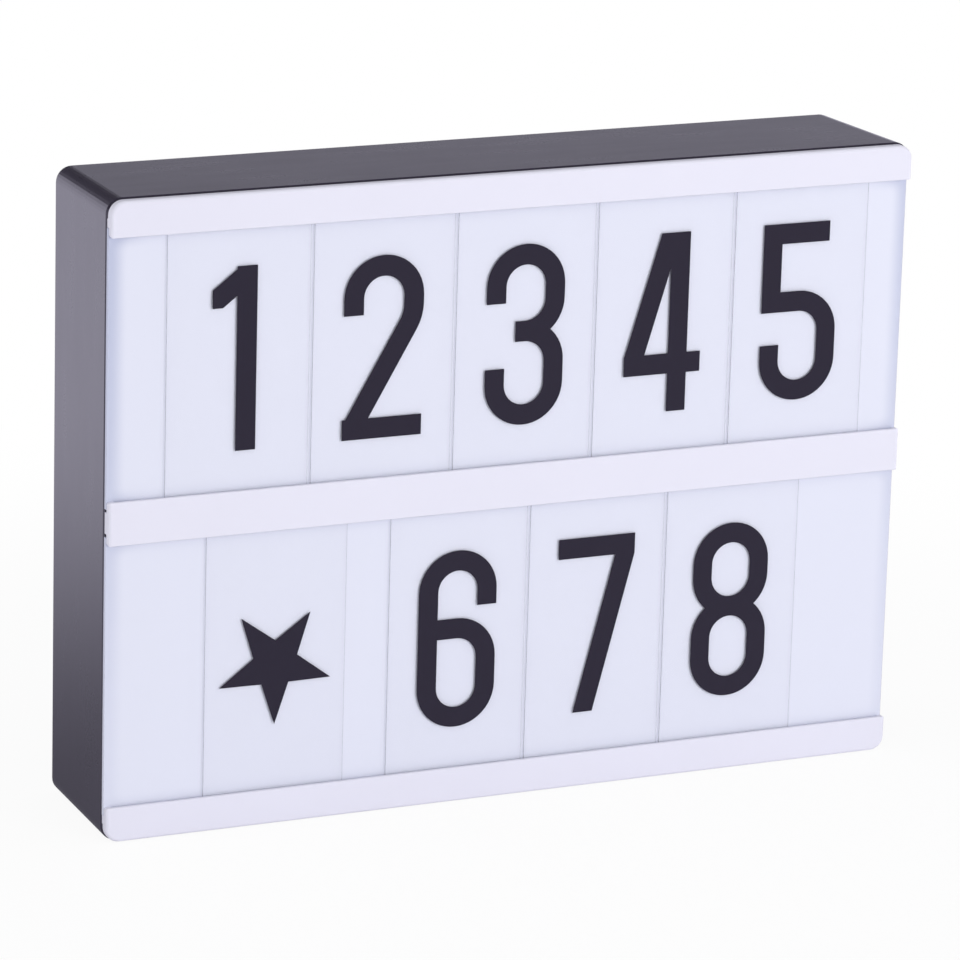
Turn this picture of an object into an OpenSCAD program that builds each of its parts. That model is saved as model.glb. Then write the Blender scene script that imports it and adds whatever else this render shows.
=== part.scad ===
// Cinema light box: a lit message board with two rows of sliding character cards.
// Millimetres. X runs along the rows, Y from front to back and Z up.
// The origin is the middle of the footprint. Depths count backwards from the case's front rim.

/* [Case] */
// Width of the case at its front rim
case_w = 220; // [210:1:240]
// Height of the case at its front rim
case_h = 164; // [162:1:180]
// Depth of the case from its front rim to its back
case_depth = 40; // [39:0.5:50]
// Radius of the case's four long edges
case_corner_r = 4; // [3.5:0.5:5]
// How far each side leans in towards the back
side_draft = 1.5; // [0.5:0.1:2]
// How far the top leans down towards the back
top_draft = 0.5; // [0.1:0.1:1]
// Thickness of the case's four walls
wall = 2.4; // [2.2:0.1:2.8]
// Thickness of the case's back wall
back_wall = 2.2; // [1.8:0.1:2.6]
// Size of the bevel round the back face
back_edge = 0.6; // [0.3:0.1:1]
// Size of the bevel round the front rim
rim_bevel = 0.5; // [0.2:0.1:0.6]
// Thickness of the rim round the seat of the front frame
rim_lip = 1; // [0.8:0.1:1.2]
// Thickness of the stiffening ribs on the back wall
rib_t = 1.2; // [0.8:0.1:2]
// Height of the stiffening ribs on the back wall
rib_h = 3; // [1.5:0.5:4]

/* [Front] */
// Thickness of the opal sheet
sheet_t = 1.2; // [1:0.1:1.5]
// Width of the opal sheet
sheet_w = 218.8; // [218:0.1:219.2]
// Sideways place of the opal sheet in its seat
sheet_shift = -0.4; // [-0.4:0.1:0.4]
// Thickness of the front frame's plate
frame_t = 2; // [1.5:0.1:2.5]
// Distance from the case's side to the frame's windows
window_side = 2.8; // [2.4:0.1:6]
// Distance from a rail's edge to the frame's windows
window_shade = 1.4; // [0.5:0.1:3]
// Corner radius of the frame's windows
window_r = 3; // [1:0.5:6]
// Thickness of the two ribs behind the frame's middle bar
brace_t = 1.2; // [1:0.1:2]
// Height of the two ribs behind the frame's middle bar
brace_h = 5; // [2:0.5:8]
// Distance between the two ribs behind the frame's middle bar
brace_gap = 8; // [6:0.5:9]

/* [Rails] */
// How far the rails stand in front of the rim
rail_proud = 2.7; // [2.5:0.1:3.5]
// How far the rails' outline lies inside the case's
rail_inset = 0.3; // [0.2:0.1:0.6]
// Height of the thick foot of the top and bottom rails
foot_h = 4.55; // [4.2:0.05:5.5]
// Height of the web of the top and bottom rails
outer_web_h = 2.2; // [1.5:0.1:3]
// Height of the web of the middle rail
mid_web_h = 6.5; // [6:0.1:9]
// How far the middle of the middle rail lies above the case's middle
mid_rail_rise = 0.7; // [-1:0.1:1]
// Height of the lips that the cards slide behind
lip_h = 2.35; // [2:0.05:3]
// Thickness of the lips
lip_t = 0.8; // [0.6:0.1:1.2]
// Radius of the rails' outer front edges
rail_edge_r = 0.8; // [0.4:0.1:1.2]
// Radius of the lips' front edges
lip_edge_r = 0.3; // [0.1:0.1:0.5]
// Corner radius of the middle rail's ends
rail_end_r = 0.8; // [0.4:0.1:1.5]
// Width of the gap between the rim and the rails' outer edges
shadow_gap = 0.5; // [0.3:0.1:0.8]
// Depth of that gap, from the rails' outline inwards
shadow_w = 1.2; // [1:0.1:1.5]
// Thickness of the wall that closes the grooves' ends
end_wall = 1.7; // [1.2:0.1:2.5]
// Width of the tabs at the rails' ends
tab_w = 1.6; // [1:0.1:1.7]
// Height of the middle rail's end tabs
mid_tab_h = 5.4; // [3:0.1:6]
// Slot above and below the middle rail's end tabs
tab_slot = 0.9; // [0.3:0.1:1.5]
// Radius of the pegs that hold the rails
peg_r = 0.9; // [0.8:0.05:1]
// Radius of the pegs' flattened heads
peg_head_r = 1.3; // [1.1:0.1:1.4]
// Thickness of the pegs' flattened heads
peg_head_t = 0.8; // [0.5:0.1:1.2]
// Number of pegs on each rail
peg_count = 4; // [2:1:4]
// Distance from peg to peg
peg_pitch = 50; // [30:1:56]

/* [Cards] */
// Free length that the upper row's cards leave in their groove
row_play = 23.4; // [20:0.1:32]
// Free height that a card has in the upper row
card_play = 0.4; // [0.2:0.1:1]
// Thickness of a card
card_t = 0.4; // [0.2:0.05:0.5]
// Corner radius of a card
card_r = 1; // [0.5:0.5:3]
// Gap between neighbouring cards
card_gap = 0.9; // [0.5:0.1:1.5]
// Number of cards in the upper row
top_count = 5; // [3:1:5]
// Distance from the groove's left end to the upper row's first card
top_row_start = 13.3; // [8:0.1:18]
// Distance from the groove's left end to the lower row's first card, which stands alone
lone_card_start = 24.5; // [13:0.1:33]
// Number of further cards in the lower row
low_count = 3; // [2:1:3]
// Distance from the groove's left end to the lower row's second card
low_row_start = 74.2; // [72:0.1:83]

/* [Battery bay] */
// Diameter of a cell
cell_d = 14.2; // [13.8:0.1:14.5]
// Length of a cell with its nub
cell_len = 50.5; // [49.5:0.1:50.5]
// Diameter of a cell's nub
nub_d = 5.5; // [4.5:0.1:5.5]
// Height of a cell's nub
nub_h = 1.2; // [1:0.1:1.5]
// Gap between neighbouring cells
cell_gap = 1; // [0.6:0.1:1.5]
// Gap from the cells to the bay's floor, walls and door
cell_clear = 0.4; // [0.2:0.1:0.6]
// Height of the bay's middle above the base
bay_z = 55; // [50:0.5:60]
// Thickness of the bay's side walls
bay_wall = 2.4; // [2.2:0.1:3]
// Thickness of the bay's floor
bay_floor = 1.4; // [1:0.1:2]
// Thickness of the contact plates
contact_t = 0.5; // [0.3:0.1:0.6]
// Width of the contact plates from bay floor to door
contact_w = 11; // [8:0.5:12]
// Height of the raised boss on a positive contact
boss_h = 1.5; // [1:0.1:2]
// Radius of the raised boss at its foot
boss_r = 3.2; // [2.5:0.1:4]
// Length of a contact spring, pressed by its cell
spring_len = 6; // [5:0.1:8]
// Radius of a contact spring at its plate
spring_foot_r = 4.4; // [4:0.1:5]
// Radius of a contact spring at its cell
spring_tip_r = 2.8; // [2.4:0.1:3.4]
// Diameter of the spring wire
spring_wire_d = 0.7; // [0.5:0.05:0.8]
// Radius of the wire's bends at a contact spring's two ends
spring_bend_r = 0.6; // [0.5:0.05:0.7]
// Number of curls of a contact spring
spring_curls = 3; // [2:1:3]
// Size of the ribs that hold the contact plates
grip_t = 1; // [0.6:0.1:1.2]
// Length of those ribs from the bay's floor
grip_h = 8; // [4:0.5:12]
// Width of a contact's solder tab
solder_tab_w = 3; // [2:0.1:4]

/* [Battery door] */
// Thickness of the door
door_t = 1.6; // [1.4:0.1:2]
// Gap round the door, and its depth below the back face
door_gap = 0.2; // [0.15:0.05:0.3]
// Width of the ledge that the door rests on
door_ledge = 2; // [1.5:0.1:2]
// Corner radius of the door
door_r = 2; // [1:0.5:3]
// Width of each hinge hook
hook_w = 8; // [5:0.5:12]
// Distance of each hinge hook from the middle
hook_x = 18; // [12:0.5:22]
// Thickness of the hinge hooks
hook_t = 1.2; // [1:0.1:1.4]
// Height of the hinge hooks' roots on the door
hook_root_h = 1.6; // [1:0.1:2]
// How far the hinge hooks reach below the door's edge
hook_reach = 2; // [1.5:0.1:2.2]
// Width of the latch finger
latch_w = 12; // [8:0.5:16]
// Thickness of the latch finger
latch_t = 1.2; // [1:0.1:1.5]
// Depth of the latch finger's bend below the back face
latch_depth = 8.2; // [6:0.1:9]
// Space between the latch finger's two legs
latch_gap = 2.2; // [1.5:0.1:3]
// How far the latch's nose stands out
nose_h = 1; // [0.6:0.1:1.2]
// Thickness of the latch pocket's walls
pocket_wall = 1.6; // [1.2:0.1:2]
// Radius of the finger recess above the latch
thumb_r = 8; // [7:0.5:12]
// Depth of the finger recess above the latch
thumb_depth = 1; // [0.5:0.1:1.2]

/* [Keyholes] */
// Distance between the two hanging keyholes
keyhole_pitch = 120; // [90:1:150]
// Height of the keyholes' round ends above the base
keyhole_z = 140; // [120:1:141]
// Radius of a keyhole's round end
keyhole_r = 4; // [3.5:0.1:4.5]
// Width of a keyhole's slot
keyhole_slot = 4; // [3:0.1:4.5]
// Distance from the round end's middle to the slot's end
keyhole_rise = 7; // [5:0.5:9]
// Depth of the space behind a keyhole
keyhole_depth = 4; // [4:0.5:8]
// Space round a keyhole's outline in that pocket
keyhole_room = 2; // [1.5:0.1:3]
// Thickness of the walls round that pocket
keyhole_wall = 1.2; // [1:0.1:2]

/* [Fasteners] */
// Distance of the case screws from the case's sides
screw_side = 10; // [9.5:0.5:12]
// Distance of the case screws from the case's top and base
screw_edge = 6.3; // [6:0.1:6.4]
// Radius of a case screw's shank
screw_r = 1.2; // [1:0.05:1.3]
// Length of a case screw's shank
screw_len = 13.8; // [8:0.2:16]
// Radius of a case screw's head
screw_head_r = 2.7; // [2.3:0.1:2.8]
// Thickness of a case screw's head
screw_head_t = 1.8; // [1.2:0.1:2.4]
// Radius of the frame's screw posts
post_r = 3.2; // [2.6:0.1:3.4]
// Radius of the case's screw pillars
pillar_r = 4.2; // [4:0.1:4.6]
// Thickness of the pillar's web under a screw head
pillar_web = 3; // [2:0.1:4]

/* [Electronics] */
// Gap from the reflector sheet to the battery bay
reflector_gap = 0.4; // [0.2:0.1:0.8]
// Thickness of the reflector sheet
reflector_t = 0.8; // [0.5:0.1:1.2]
// Thickness of the circuit boards
board_t = 1.6; // [1:0.1:1.8]
// Width of the control board
board_w = 30; // [28:0.5:34]
// Height of the control board
board_h = 46; // [44:0.5:50]
// Distance from the case's left side to the control board's middle
board_side = 32; // [28:0.5:36]
// Height of the control board's middle above the base
board_z = 48; // [44:0.5:56]
// Distance from the control board to the back wall
board_standoff = 5.2; // [5:0.1:6]
// Radius of the control board's standoffs
standoff_r = 2.6; // [2:0.1:3]
// Distance from the control board's edge to its screws
board_screw_edge = 4; // [3.5:0.1:5]
// Radius of a board screw's shank
board_screw_r = 0.85; // [0.7:0.05:1]
// Radius of a board screw's head
board_head_r = 1.9; // [1.5:0.1:2.2]
// Thickness of a board screw's head
board_head_t = 1.4; // [1:0.1:1.6]
// Height of the switch and the socket above and below the board's middle
device_rise = 12; // [11:0.5:13]
// Width of the switch's body
switch_w = 12; // [11:0.5:14]
// Height of the switch's body
switch_h = 6; // [5:0.1:8]
// Depth of the switch's body that the knob's foot slides in
knob_foot_t = 2.2; // [1.8:0.1:2.6]
// Travel of the switch's knob
switch_travel = 4; // [3:0.1:5]
// Width of the switch's knob along its travel
knob_w = 4; // [3:0.1:4.5]
// Height of the switch's knob across its travel
knob_h = 3; // [2:0.1:3.5]
// Running gap round the switch's knob
knob_gap = 0.2; // [0.15:0.05:0.3]
// Depth of the recess round the switch's knob
switch_recess = 1.2; // [0.8:0.1:1.4]
// Thickness of the recess's floor
switch_floor = 1.6; // [1.2:0.1:1.8]
// Side of the power socket's square base
socket_base = 11; // [10:0.5:12]
// Radius of the power socket's round nose
socket_r = 4; // [3.8:0.1:4.5]
// Radius of the power socket's bore
socket_bore_r = 2.85; // [2.6:0.05:3]
// Depth of the power socket's bore
socket_depth = 6; // [5:0.1:6.2]
// Radius of the power socket's middle pin
socket_pin_r = 1; // [0.6:0.05:1.1]
// Distance from the LED boards' ends to the case's sides
strip_side = 15; // [13:0.5:20]
// Height of the LED boards
strip_h = 8; // [6:0.5:12]
// Thickness of the LED boards
strip_t = 1.2; // [0.8:0.1:1.6]
// Number of LEDs on each board
led_count = 6; // [4:1:8]
// Distance from LED to LED
led_pitch = 32; // [18:0.5:34]
// Side of an LED's square body
led_size = 3.4; // [2.8:0.1:5]
// Thickness of an LED's body
led_t = 1.4; // [1:0.1:2]
// Diameter of the leads
lead_d = 1.3; // [1:0.1:1.5]

/* [Fits] */
// Gap round pieces that are seated in others
seat_gap = 0.1; // [0.05:0.05:0.15]
// Gap from a card to the floor of its groove
rest_gap = 0.1; // [0.05:0.05:0.2]
// Gap round screws in their holes
screw_gap = 0.4; // [0.3:0.05:0.5]
// Gap between a screw's core and its thread's pilot hole
thread_gap = 0.05; // [0.03:0.01:0.1]

/* [Colours] */
// Colour of the case, its door and its frame
case_colour = "#2a282e"; // ["#2a282e", "#3a3a3a", "#1d2a3a"]
// Colour of the rails
rail_colour = "#e7e6f3"; // ["#e7e6f3", "#ffffff"]
// Colour of the opal sheet
sheet_colour = "#dfe2ef"; // ["#dfe2ef", "#f4f4f4"]
// Colour of the cards
card_colour = "#e6e9f4"; // ["#e6e9f4", "#ffffff"]
// Colour of bare metal
metal_colour = "#b8bac0"; // ["#b8bac0", "#d0c090"]
// Colour of the circuit boards
board_colour = "#2f6b45"; // ["#2f6b45", "#1f3f6b"]
// Colour of the cells' sleeves
cell_colour = "#3c6fa8"; // ["#3c6fa8", "#a83c3c"]

/* [Hidden] */
$fn = 48;
hull_facets = 32;
cut = 1;
skin = 0.01;
least_corner_r = 1;
board_corner_r = 1;

// Rings along a spring's curl, sides of its tube, and sides of a lead's tube
curl_rings = 8;
spring_sides = 6;
lead_sides = 8;

total_depth = case_depth + rail_proud;
rim_y = rail_proud - total_depth / 2;
inner_back_d = case_depth - back_wall;

// Rails: heights of the top rail's edges, from its outline down to its lip
rail_half = case_w / 2 - rail_inset;
rail_corner_r = case_corner_r - rail_inset;
rail_corner_x = rail_half - rail_corner_r;
rail_top_z = case_h - rail_inset;
rail_corner_z = rail_top_z - rail_corner_r;
foot_z = rail_top_z - foot_h;
web_z = foot_z - outer_web_h;
lip_z = web_z - lip_h;
mid_web_half = mid_web_h / 2;
mid_half = mid_web_half + lip_h;
groove_w = rail_proud - sheet_t - lip_t;
groove_half = rail_half - end_wall;
mid_rail_z = case_h / 2 + mid_rail_rise;
tab_x = rail_half - tab_w;
peg_hole_r = peg_r + seat_gap;
peg_z = case_top(frame_t + peg_head_t) - wall - seat_gap - peg_head_r;

// Opal sheet: it fills the height between the two feet
sheet_top_z = foot_z - seat_gap;
sheet_low_z = case_h - sheet_top_z;

// Cards: the upper row's height and width give their size
card_d = -sheet_t - groove_w / 2;
card_w = (2 * groove_half - row_play - (top_count - 1) * card_gap) / top_count;
card_pitch = card_w + card_gap;
card_h = web_z - mid_rail_z - mid_web_half - card_play;
top_row_x = top_row_start - groove_half;
lone_card_x = lone_card_start - groove_half;
low_row_x = low_row_start - groove_half;
top_row_z = mid_rail_z + mid_web_half + rest_gap;
low_row_z = case_h - web_z + rest_gap;

// Depths from the back towards the front
door_out_d = case_depth - door_gap;
door_in_d = door_out_d - door_t;
cell_d_axis = door_in_d - cell_clear - cell_d / 2;
bay_floor_d = cell_d_axis - cell_d / 2 - cell_clear;
bay_front_d = bay_floor_d - bay_floor;
reflector_back_d = bay_front_d - reflector_gap;
reflector_front_d = reflector_back_d - reflector_t;
strip_front_d = reflector_front_d - strip_t;
post_len = reflector_front_d - frame_t;
pillar_web_d = reflector_back_d + pillar_web;

// Battery bay
cell_count = 3;
cell_pitch = cell_d + cell_gap;
bay_w = 2 * contact_t + boss_h + cell_len + spring_len;
bay_h = cell_count * cell_d + (cell_count - 1) * cell_gap + 2 * (cell_clear + seat_gap);
bay_half = bay_w / 2;
bay_low_z = bay_z - bay_h / 2;
bay_top_z = bay_z + bay_h / 2;
plate_x = bay_half - contact_t;
solder_tab_d = cell_d_axis - contact_w / 2;
solder_tab_x = bay_half + bay_wall + solder_tab_w / 2;

// Battery door and its latch
rebate_half = bay_half + door_ledge;
rebate_low_z = bay_low_z - door_ledge;
rebate_top_z = bay_top_z + door_ledge;
door_half = rebate_half - door_gap;
door_low_z = rebate_low_z + door_gap;
door_top_z = rebate_top_z - door_gap;
hook_out_d = inner_back_d - door_gap;
hook_in_d = hook_out_d - hook_t;
hook_swing_r = case_depth - hook_in_d + door_gap;
leg_low_z = bay_top_z + bay_wall + 2 * door_gap;
latch_bend_d = case_depth - latch_depth;
leg_high_z = leg_low_z + latch_t + latch_gap;
nose_z = leg_high_z + latch_t + nose_h;
nose_swing_r = norm([nose_z - door_low_z, case_depth - hook_in_d]);
pocket_top_z = door_low_z + nose_swing_r + door_gap;
pocket_half = latch_w / 2 + 3 * door_gap;
pocket_floor_d = latch_bend_d - latch_t;

// Screws
screw_x = case_w / 2 - screw_side;
pilot_r = screw_r + thread_gap;

// Control board with the switch and the socket on it
board_x = board_side - case_w / 2;
board_back_d = inner_back_d - board_standoff;
board_front_d = board_back_d - board_t;
board_screw_x = board_w / 2 - board_screw_edge;
board_screw_z = board_h / 2 - board_screw_edge;
switch_z = board_z + device_rise;
socket_z = board_z - device_rise;
recess_d = case_depth - switch_recess;
recess_floor_d = recess_d - switch_floor;
switch_front_d = recess_floor_d - seat_gap;
knob_out_d = case_depth - 2 * door_gap;
socket_out_d = case_depth - door_gap;
socket_shoulder_d = inner_back_d - cut;

// LED boards
strip_w = case_w - 2 * strip_side;
top_strip_z = (lip_z + mid_rail_z + mid_half) / 2;
low_strip_z = (case_h - lip_z + mid_rail_z - mid_half) / 2;

// Leads: where they end, and how far they run straight from a board
lead_r = lead_d / 2;
lead_run = 3;
lead_touch = 0.1;
tab_end_x = solder_tab_x + lead_touch;
pad_x = board_x + board_w / 2 - board_screw_edge;
negative_pad_z = board_z - 4;
positive_pad_z = board_z + 8;
strip_pad_x = board_x - 10;
strip_lead_x = board_x - 7;
high_pad_z = board_z + 14;
low_pad_z = board_z - 14;
over_z = pocket_top_z + pocket_wall + 4;

// Routes of the leads, as points in X, depth and Z
negative_lead = [
    [-tab_end_x - 5, solder_tab_d, cell_z(0)],
    [-tab_end_x - 10, solder_tab_d, cell_z(0)],
    [pad_x + 13, solder_tab_d + 1, negative_pad_z + 2],
    [pad_x + 2, solder_tab_d + 1, negative_pad_z],
    [pad_x, board_front_d - lead_run, negative_pad_z]
];
positive_lead = [
    [tab_end_x + 5, solder_tab_d, cell_z(2)],
    [tab_end_x + 8, solder_tab_d, cell_z(2) + 4],
    [tab_end_x + 5, solder_tab_d, over_z - 6],
    [tab_end_x - 13, solder_tab_d, over_z],
    [13 - tab_end_x, solder_tab_d, over_z],
    [-tab_end_x - 12, solder_tab_d, over_z - 10],
    [pad_x + 11, solder_tab_d + 1, positive_pad_z + 6],
    [pad_x + 2, solder_tab_d + 1, positive_pad_z],
    [pad_x, board_front_d - lead_run, positive_pad_z]
];
high_lead = [
    [strip_pad_x, board_front_d - lead_run, high_pad_z],
    [strip_pad_x, board_front_d - 5, high_pad_z + 4],
    [strip_pad_x, board_front_d - 5, high_pad_z + 28],
    [strip_lead_x, board_front_d - 5, top_strip_z - 6],
    [strip_lead_x, reflector_back_d + 2, top_strip_z]
];
low_lead = [
    [strip_pad_x, board_front_d - lead_run, low_pad_z],
    [strip_pad_x + 1, board_front_d - 5, low_pad_z + 4],
    [strip_lead_x, reflector_back_d + 2, low_strip_z]
];

// ---- Shared shapes ----

// A flat shape drawn in X and Z, extruded between two depths behind the rim
module slab(from, to) {
    translate([0, rim_y + to, 0])
        rotate([90, 0, 0])
            linear_extrude(to - from)
                children();
}

// A section drawn in Y and Z, run along X
module run_x(from, to) {
    translate([from, 0, 0])
        rotate([90, 0, 90])
            linear_extrude(to - from)
                children();
}

// A round bar that runs backwards between two depths
module bar(x, z, from, to, r) {
    slab(from, to)
        translate([x, z])
            circle(r);
}

// A rectangle between two corners
module box_shape(low, high) {
    translate(low)
        square(high - low);
}

// A rectangle between two corners, with round corners
module soft_shape(low, high, r) {
    box_shape(low + [r, 0], high - [r, 0]);
    box_shape(low + [0, r], high - [0, r]);
    for (x = [low[0] + r, high[0] - r], z = [low[1] + r, high[1] - r])
        translate([x, z])
            circle(r);
}

// What is cut from a square corner to round it; aim points out of the corner
module corner_waste(corner, aim, r) {
    translate(corner)
        difference() {
            translate([-aim[0] * r, -aim[1] * r] / 2)
                square(r + 2 * skin, center = true);
            translate([-aim[0] * r, -aim[1] * r])
                circle(r);
        }
}

// The case's outline at a depth, drawn in by an inset
function case_half(d) = case_w / 2 - side_draft * d / case_depth;
function case_top(d) = case_h - top_draft * d / case_depth;
module case_shape(d, inset) {
    soft_shape(
        [inset - case_half(d), inset],
        [case_half(d) - inset, case_top(d) - inset],
        max(case_corner_r - inset, least_corner_r)
    );
}

// Both sides, right and left
module both_sides() {
    for (side = [0, 1])
        mirror([side, 0, 0])
            children();
}

// The four places of the case screws, each as X and Z
screw_spots = [for (x = [-screw_x, screw_x], z = [screw_edge, case_h - screw_edge]) [x, z]];

// ---- Tubes along a path ----

function unit(v) = v / norm(v);
function tangents(p) = [for (i = [0:len(p) - 1]) unit(p[min(i + 1, len(p) - 1)] - p[max(i - 1, 0)])];
function carried(t, n, i) =
    i == len(t) ? [] :
    let (m = unit(n - (n * t[i]) * t[i]))
    concat([m], carried(t, m, i + 1));

// A tube of a given radius along points, with flat ends square to the path
module tube(p, r, sides) {
    steep = 0.9;
    t = tangents(p);
    n = carried(t, abs(t[0][2]) < steep ? [0, 0, 1] : [1, 0, 0], 0);
    rings = [
        for (i = [0:len(p) - 1], k = [0:sides - 1])
            p[i] + r * (cos(360 * k / sides) * n[i] + sin(360 * k / sides) * cross(t[i], n[i]))
    ];
    last = (len(p) - 1) * sides;
    skin_faces = [
        for (i = [0:len(p) - 2], k = [0:sides - 1])
            let (a = i * sides + k, b = i * sides + (k + 1) % sides)
            each [[a, a + sides, b + sides], [a, b + sides, b]]
    ];
    start_cap = [for (k = [1:sides - 2]) [0, k, k + 1]];
    end_cap = [for (k = [1:sides - 2]) [last, last + k + 1, last + k]];
    polyhedron(rings, concat(skin_faces, start_cap, end_cap));
}

// A smooth curve through points, with a number of steps from each to the next
function spot(p, i) = p[max(0, min(len(p) - 1, i))];
function between(a, b, c, e, u) =
    (2 * b + (c - a) * u + (2 * a - 5 * b + 4 * c - e) * u * u + (3 * b - a - 3 * c + e) * u * u * u) / 2;
function smooth(p, steps) = concat(
    [for (i = [0:len(p) - 2], k = [0:steps - 1])
        between(spot(p, i - 1), p[i], p[i + 1], spot(p, i + 2), k / steps)],
    [p[len(p) - 1]]
);

// Points given as X, depth behind the rim and Z, moved into the frame
function placed(p) = [for (q = p) q + [0, rim_y, 0]];

// ---- Front ----

// Section of the top rail before its grooves are cut
module outer_rail_section() {
    front_y = rim_y - rail_proud;
    difference() {
        box_shape([front_y, lip_z], [rim_y, rail_top_z]);
        corner_waste([front_y, rail_top_z], [-1, 1], rail_edge_r);
        corner_waste([front_y, lip_z], [-1, -1], lip_edge_r);
    }
}

// Square end of the top rail below its corner, rounded towards the front and the side
module outer_rail_end() {
    front_y = rim_y - rail_proud;
    intersection() {
        run_x(rail_corner_x, rail_half)
            difference() {
                box_shape([front_y, lip_z], [rim_y, rail_corner_z]);
                corner_waste([front_y, lip_z], [-1, -1], lip_edge_r);
            }
        translate([0, 0, lip_z])
            linear_extrude(rail_corner_z - lip_z)
                difference() {
                    box_shape([rail_corner_x, front_y], [rail_half, rim_y]);
                    corner_waste([rail_half, front_y], [1, -1], rail_edge_r);
                }
        slab(-rail_proud, 0)
            difference() {
                box_shape([rail_corner_x, lip_z], [rail_half, rail_corner_z]);
                corner_waste([rail_half, lip_z], [1, -1], rail_end_r);
            }
    }
}

// Round corner of the top rail, turned about the case's corner
module outer_rail_corner() {
    translate([rail_corner_x, rim_y, rail_corner_z])
        rotate([90, 0, 0])
            rotate_extrude(angle = 90)
                difference() {
                    square([rail_corner_r, rail_proud]);
                    corner_waste([rail_corner_r, rail_proud], [1, 1], rail_edge_r);
                }
}

// Pegs behind a rail, through the frame, with flattened heads
module rail_pegs(z, from) {
    for (i = [0:peg_count - 1]) {
        x = (i - (peg_count - 1) / 2) * peg_pitch;
        bar(x, z, from, frame_t + peg_head_t / 2, peg_r);
        bar(x, z, frame_t, frame_t + peg_head_t, peg_head_r);
    }
}

// The peg holes of one rail
module peg_holes(z) {
    for (i = [0:peg_count - 1])
        translate([(i - (peg_count - 1) / 2) * peg_pitch, z])
            circle(peg_hole_r);
}

// Rail with a thick foot, a web on the sheet, and one lip that holds the cards
module outer_rail() {
    difference() {
        union() {
            run_x(-rail_corner_x, rail_corner_x)
                outer_rail_section();
            both_sides() {
                outer_rail_corner();
                outer_rail_end();
            }
        }
        // Seat on the sheet, between the end tabs
        slab(-sheet_t, cut)
            difference() {
                box_shape([-case_w / 2, lip_z - cut], [case_w / 2, foot_z]);
                both_sides()
                    box_shape([tab_x, web_z], [case_w / 2, foot_z + cut]);
            }
        // Groove for the cards
        slab(-sheet_t - groove_w, -sheet_t + skin)
            box_shape([-groove_half, lip_z - cut], [groove_half, web_z]);
        // Shadow gap along the outer edge
        slab(-shadow_gap, cut)
            difference() {
                box_shape([-case_w / 2, foot_z], [case_w / 2, case_h]);
                soft_shape(
                    [shadow_w - rail_half, lip_z],
                    [rail_half - shadow_w, rail_top_z - shadow_w],
                    rail_corner_r - shadow_w
                );
            }
    }
    rail_pegs(peg_z, -skin);
}

module top_rail() {
    color(rail_colour)
        outer_rail();
}

module bottom_rail() {
    color(rail_colour)
        translate([0, 0, case_h])
            mirror([0, 0, 1])
                outer_rail();
}

// Rail with a lip above and a lip below, on a web that lies on the sheet
module middle_rail() {
    front_y = rim_y - rail_proud;
    low_z = mid_rail_z - mid_half;
    high_z = mid_rail_z + mid_half;
    color(rail_colour) {
        difference() {
            intersection() {
                run_x(-rail_half, rail_half)
                    difference() {
                        box_shape([front_y, low_z], [rim_y, high_z]);
                        corner_waste([front_y, low_z], [-1, -1], lip_edge_r);
                        corner_waste([front_y, high_z], [-1, 1], lip_edge_r);
                    }
                translate([0, 0, low_z])
                    linear_extrude(high_z - low_z)
                        difference() {
                            box_shape([-rail_half, front_y], [rail_half, rim_y]);
                            both_sides()
                                corner_waste([rail_half, front_y], [1, -1], rail_edge_r);
                        }
                slab(-rail_proud, 0)
                    soft_shape([-rail_half, low_z], [rail_half, high_z], rail_end_r);
            }
            slab(-sheet_t, cut)
                difference() {
                    box_shape([-case_w / 2, low_z - cut], [case_w / 2, high_z + cut]);
                    both_sides()
                        box_shape(
                            [tab_x, mid_rail_z - mid_tab_h / 2],
                            [case_w / 2, mid_rail_z + mid_tab_h / 2]
                        );
                }
            slab(-sheet_t - groove_w, -sheet_t + skin) {
                box_shape([-groove_half, low_z - cut], [groove_half, mid_rail_z - mid_web_half]);
                box_shape([-groove_half, mid_rail_z + mid_web_half], [groove_half, high_z + cut]);
            }
        }
        rail_pegs(mid_rail_z, -sheet_t - skin);
    }
}

// Opal sheet, notched for the rails' end tabs
module diffuser_panel() {
    notch_x = tab_x - seat_gap;
    low_tab_z = case_h - web_z + seat_gap;
    mid_notch_half = mid_tab_h / 2 + tab_slot;
    color(sheet_colour)
        slab(-sheet_t, 0)
            difference() {
                box_shape([sheet_shift - sheet_w / 2, sheet_low_z], [sheet_shift + sheet_w / 2, sheet_top_z]);
                both_sides() {
                    box_shape([notch_x, web_z - seat_gap], [case_w, case_h]);
                    box_shape([notch_x, mid_rail_z - mid_notch_half], [case_w, mid_rail_z + mid_notch_half]);
                    box_shape([notch_x, 0], [case_w, low_tab_z]);
                }
                peg_holes(mid_rail_z);
            }
}

// Ladder frame behind the sheet, with a post at each corner for the case screws
module front_frame() {
    window_half = case_w / 2 - window_side;
    bars_low = [case_h - lip_z, mid_rail_z + mid_half];
    bars_high = [mid_rail_z - mid_half, lip_z];
    color(case_colour)
        difference() {
            union() {
                slab(0, frame_t)
                    difference() {
                        case_shape(0, rim_lip + seat_gap);
                        for (i = [0, 1])
                            soft_shape(
                                [-window_half, bars_low[i] + window_shade],
                                [window_half, bars_high[i] - window_shade],
                                window_r
                            );
                        peg_holes(mid_rail_z);
                        peg_holes(peg_z);
                        peg_holes(case_h - peg_z);
                    }
                for (s = screw_spots)
                    bar(s[0], s[1], frame_t / 2, reflector_front_d, post_r);
                for (side = [-1, 1])
                    slab(frame_t / 2, frame_t + brace_h)
                        translate([0, mid_rail_z + side * brace_gap / 2])
                            square([2 * screw_x, brace_t], center = true);
            }
            for (s = screw_spots)
                bar(s[0], s[1], pillar_web_d - screw_len - cut, reflector_front_d + cut, pilot_r);
        }
}

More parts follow.
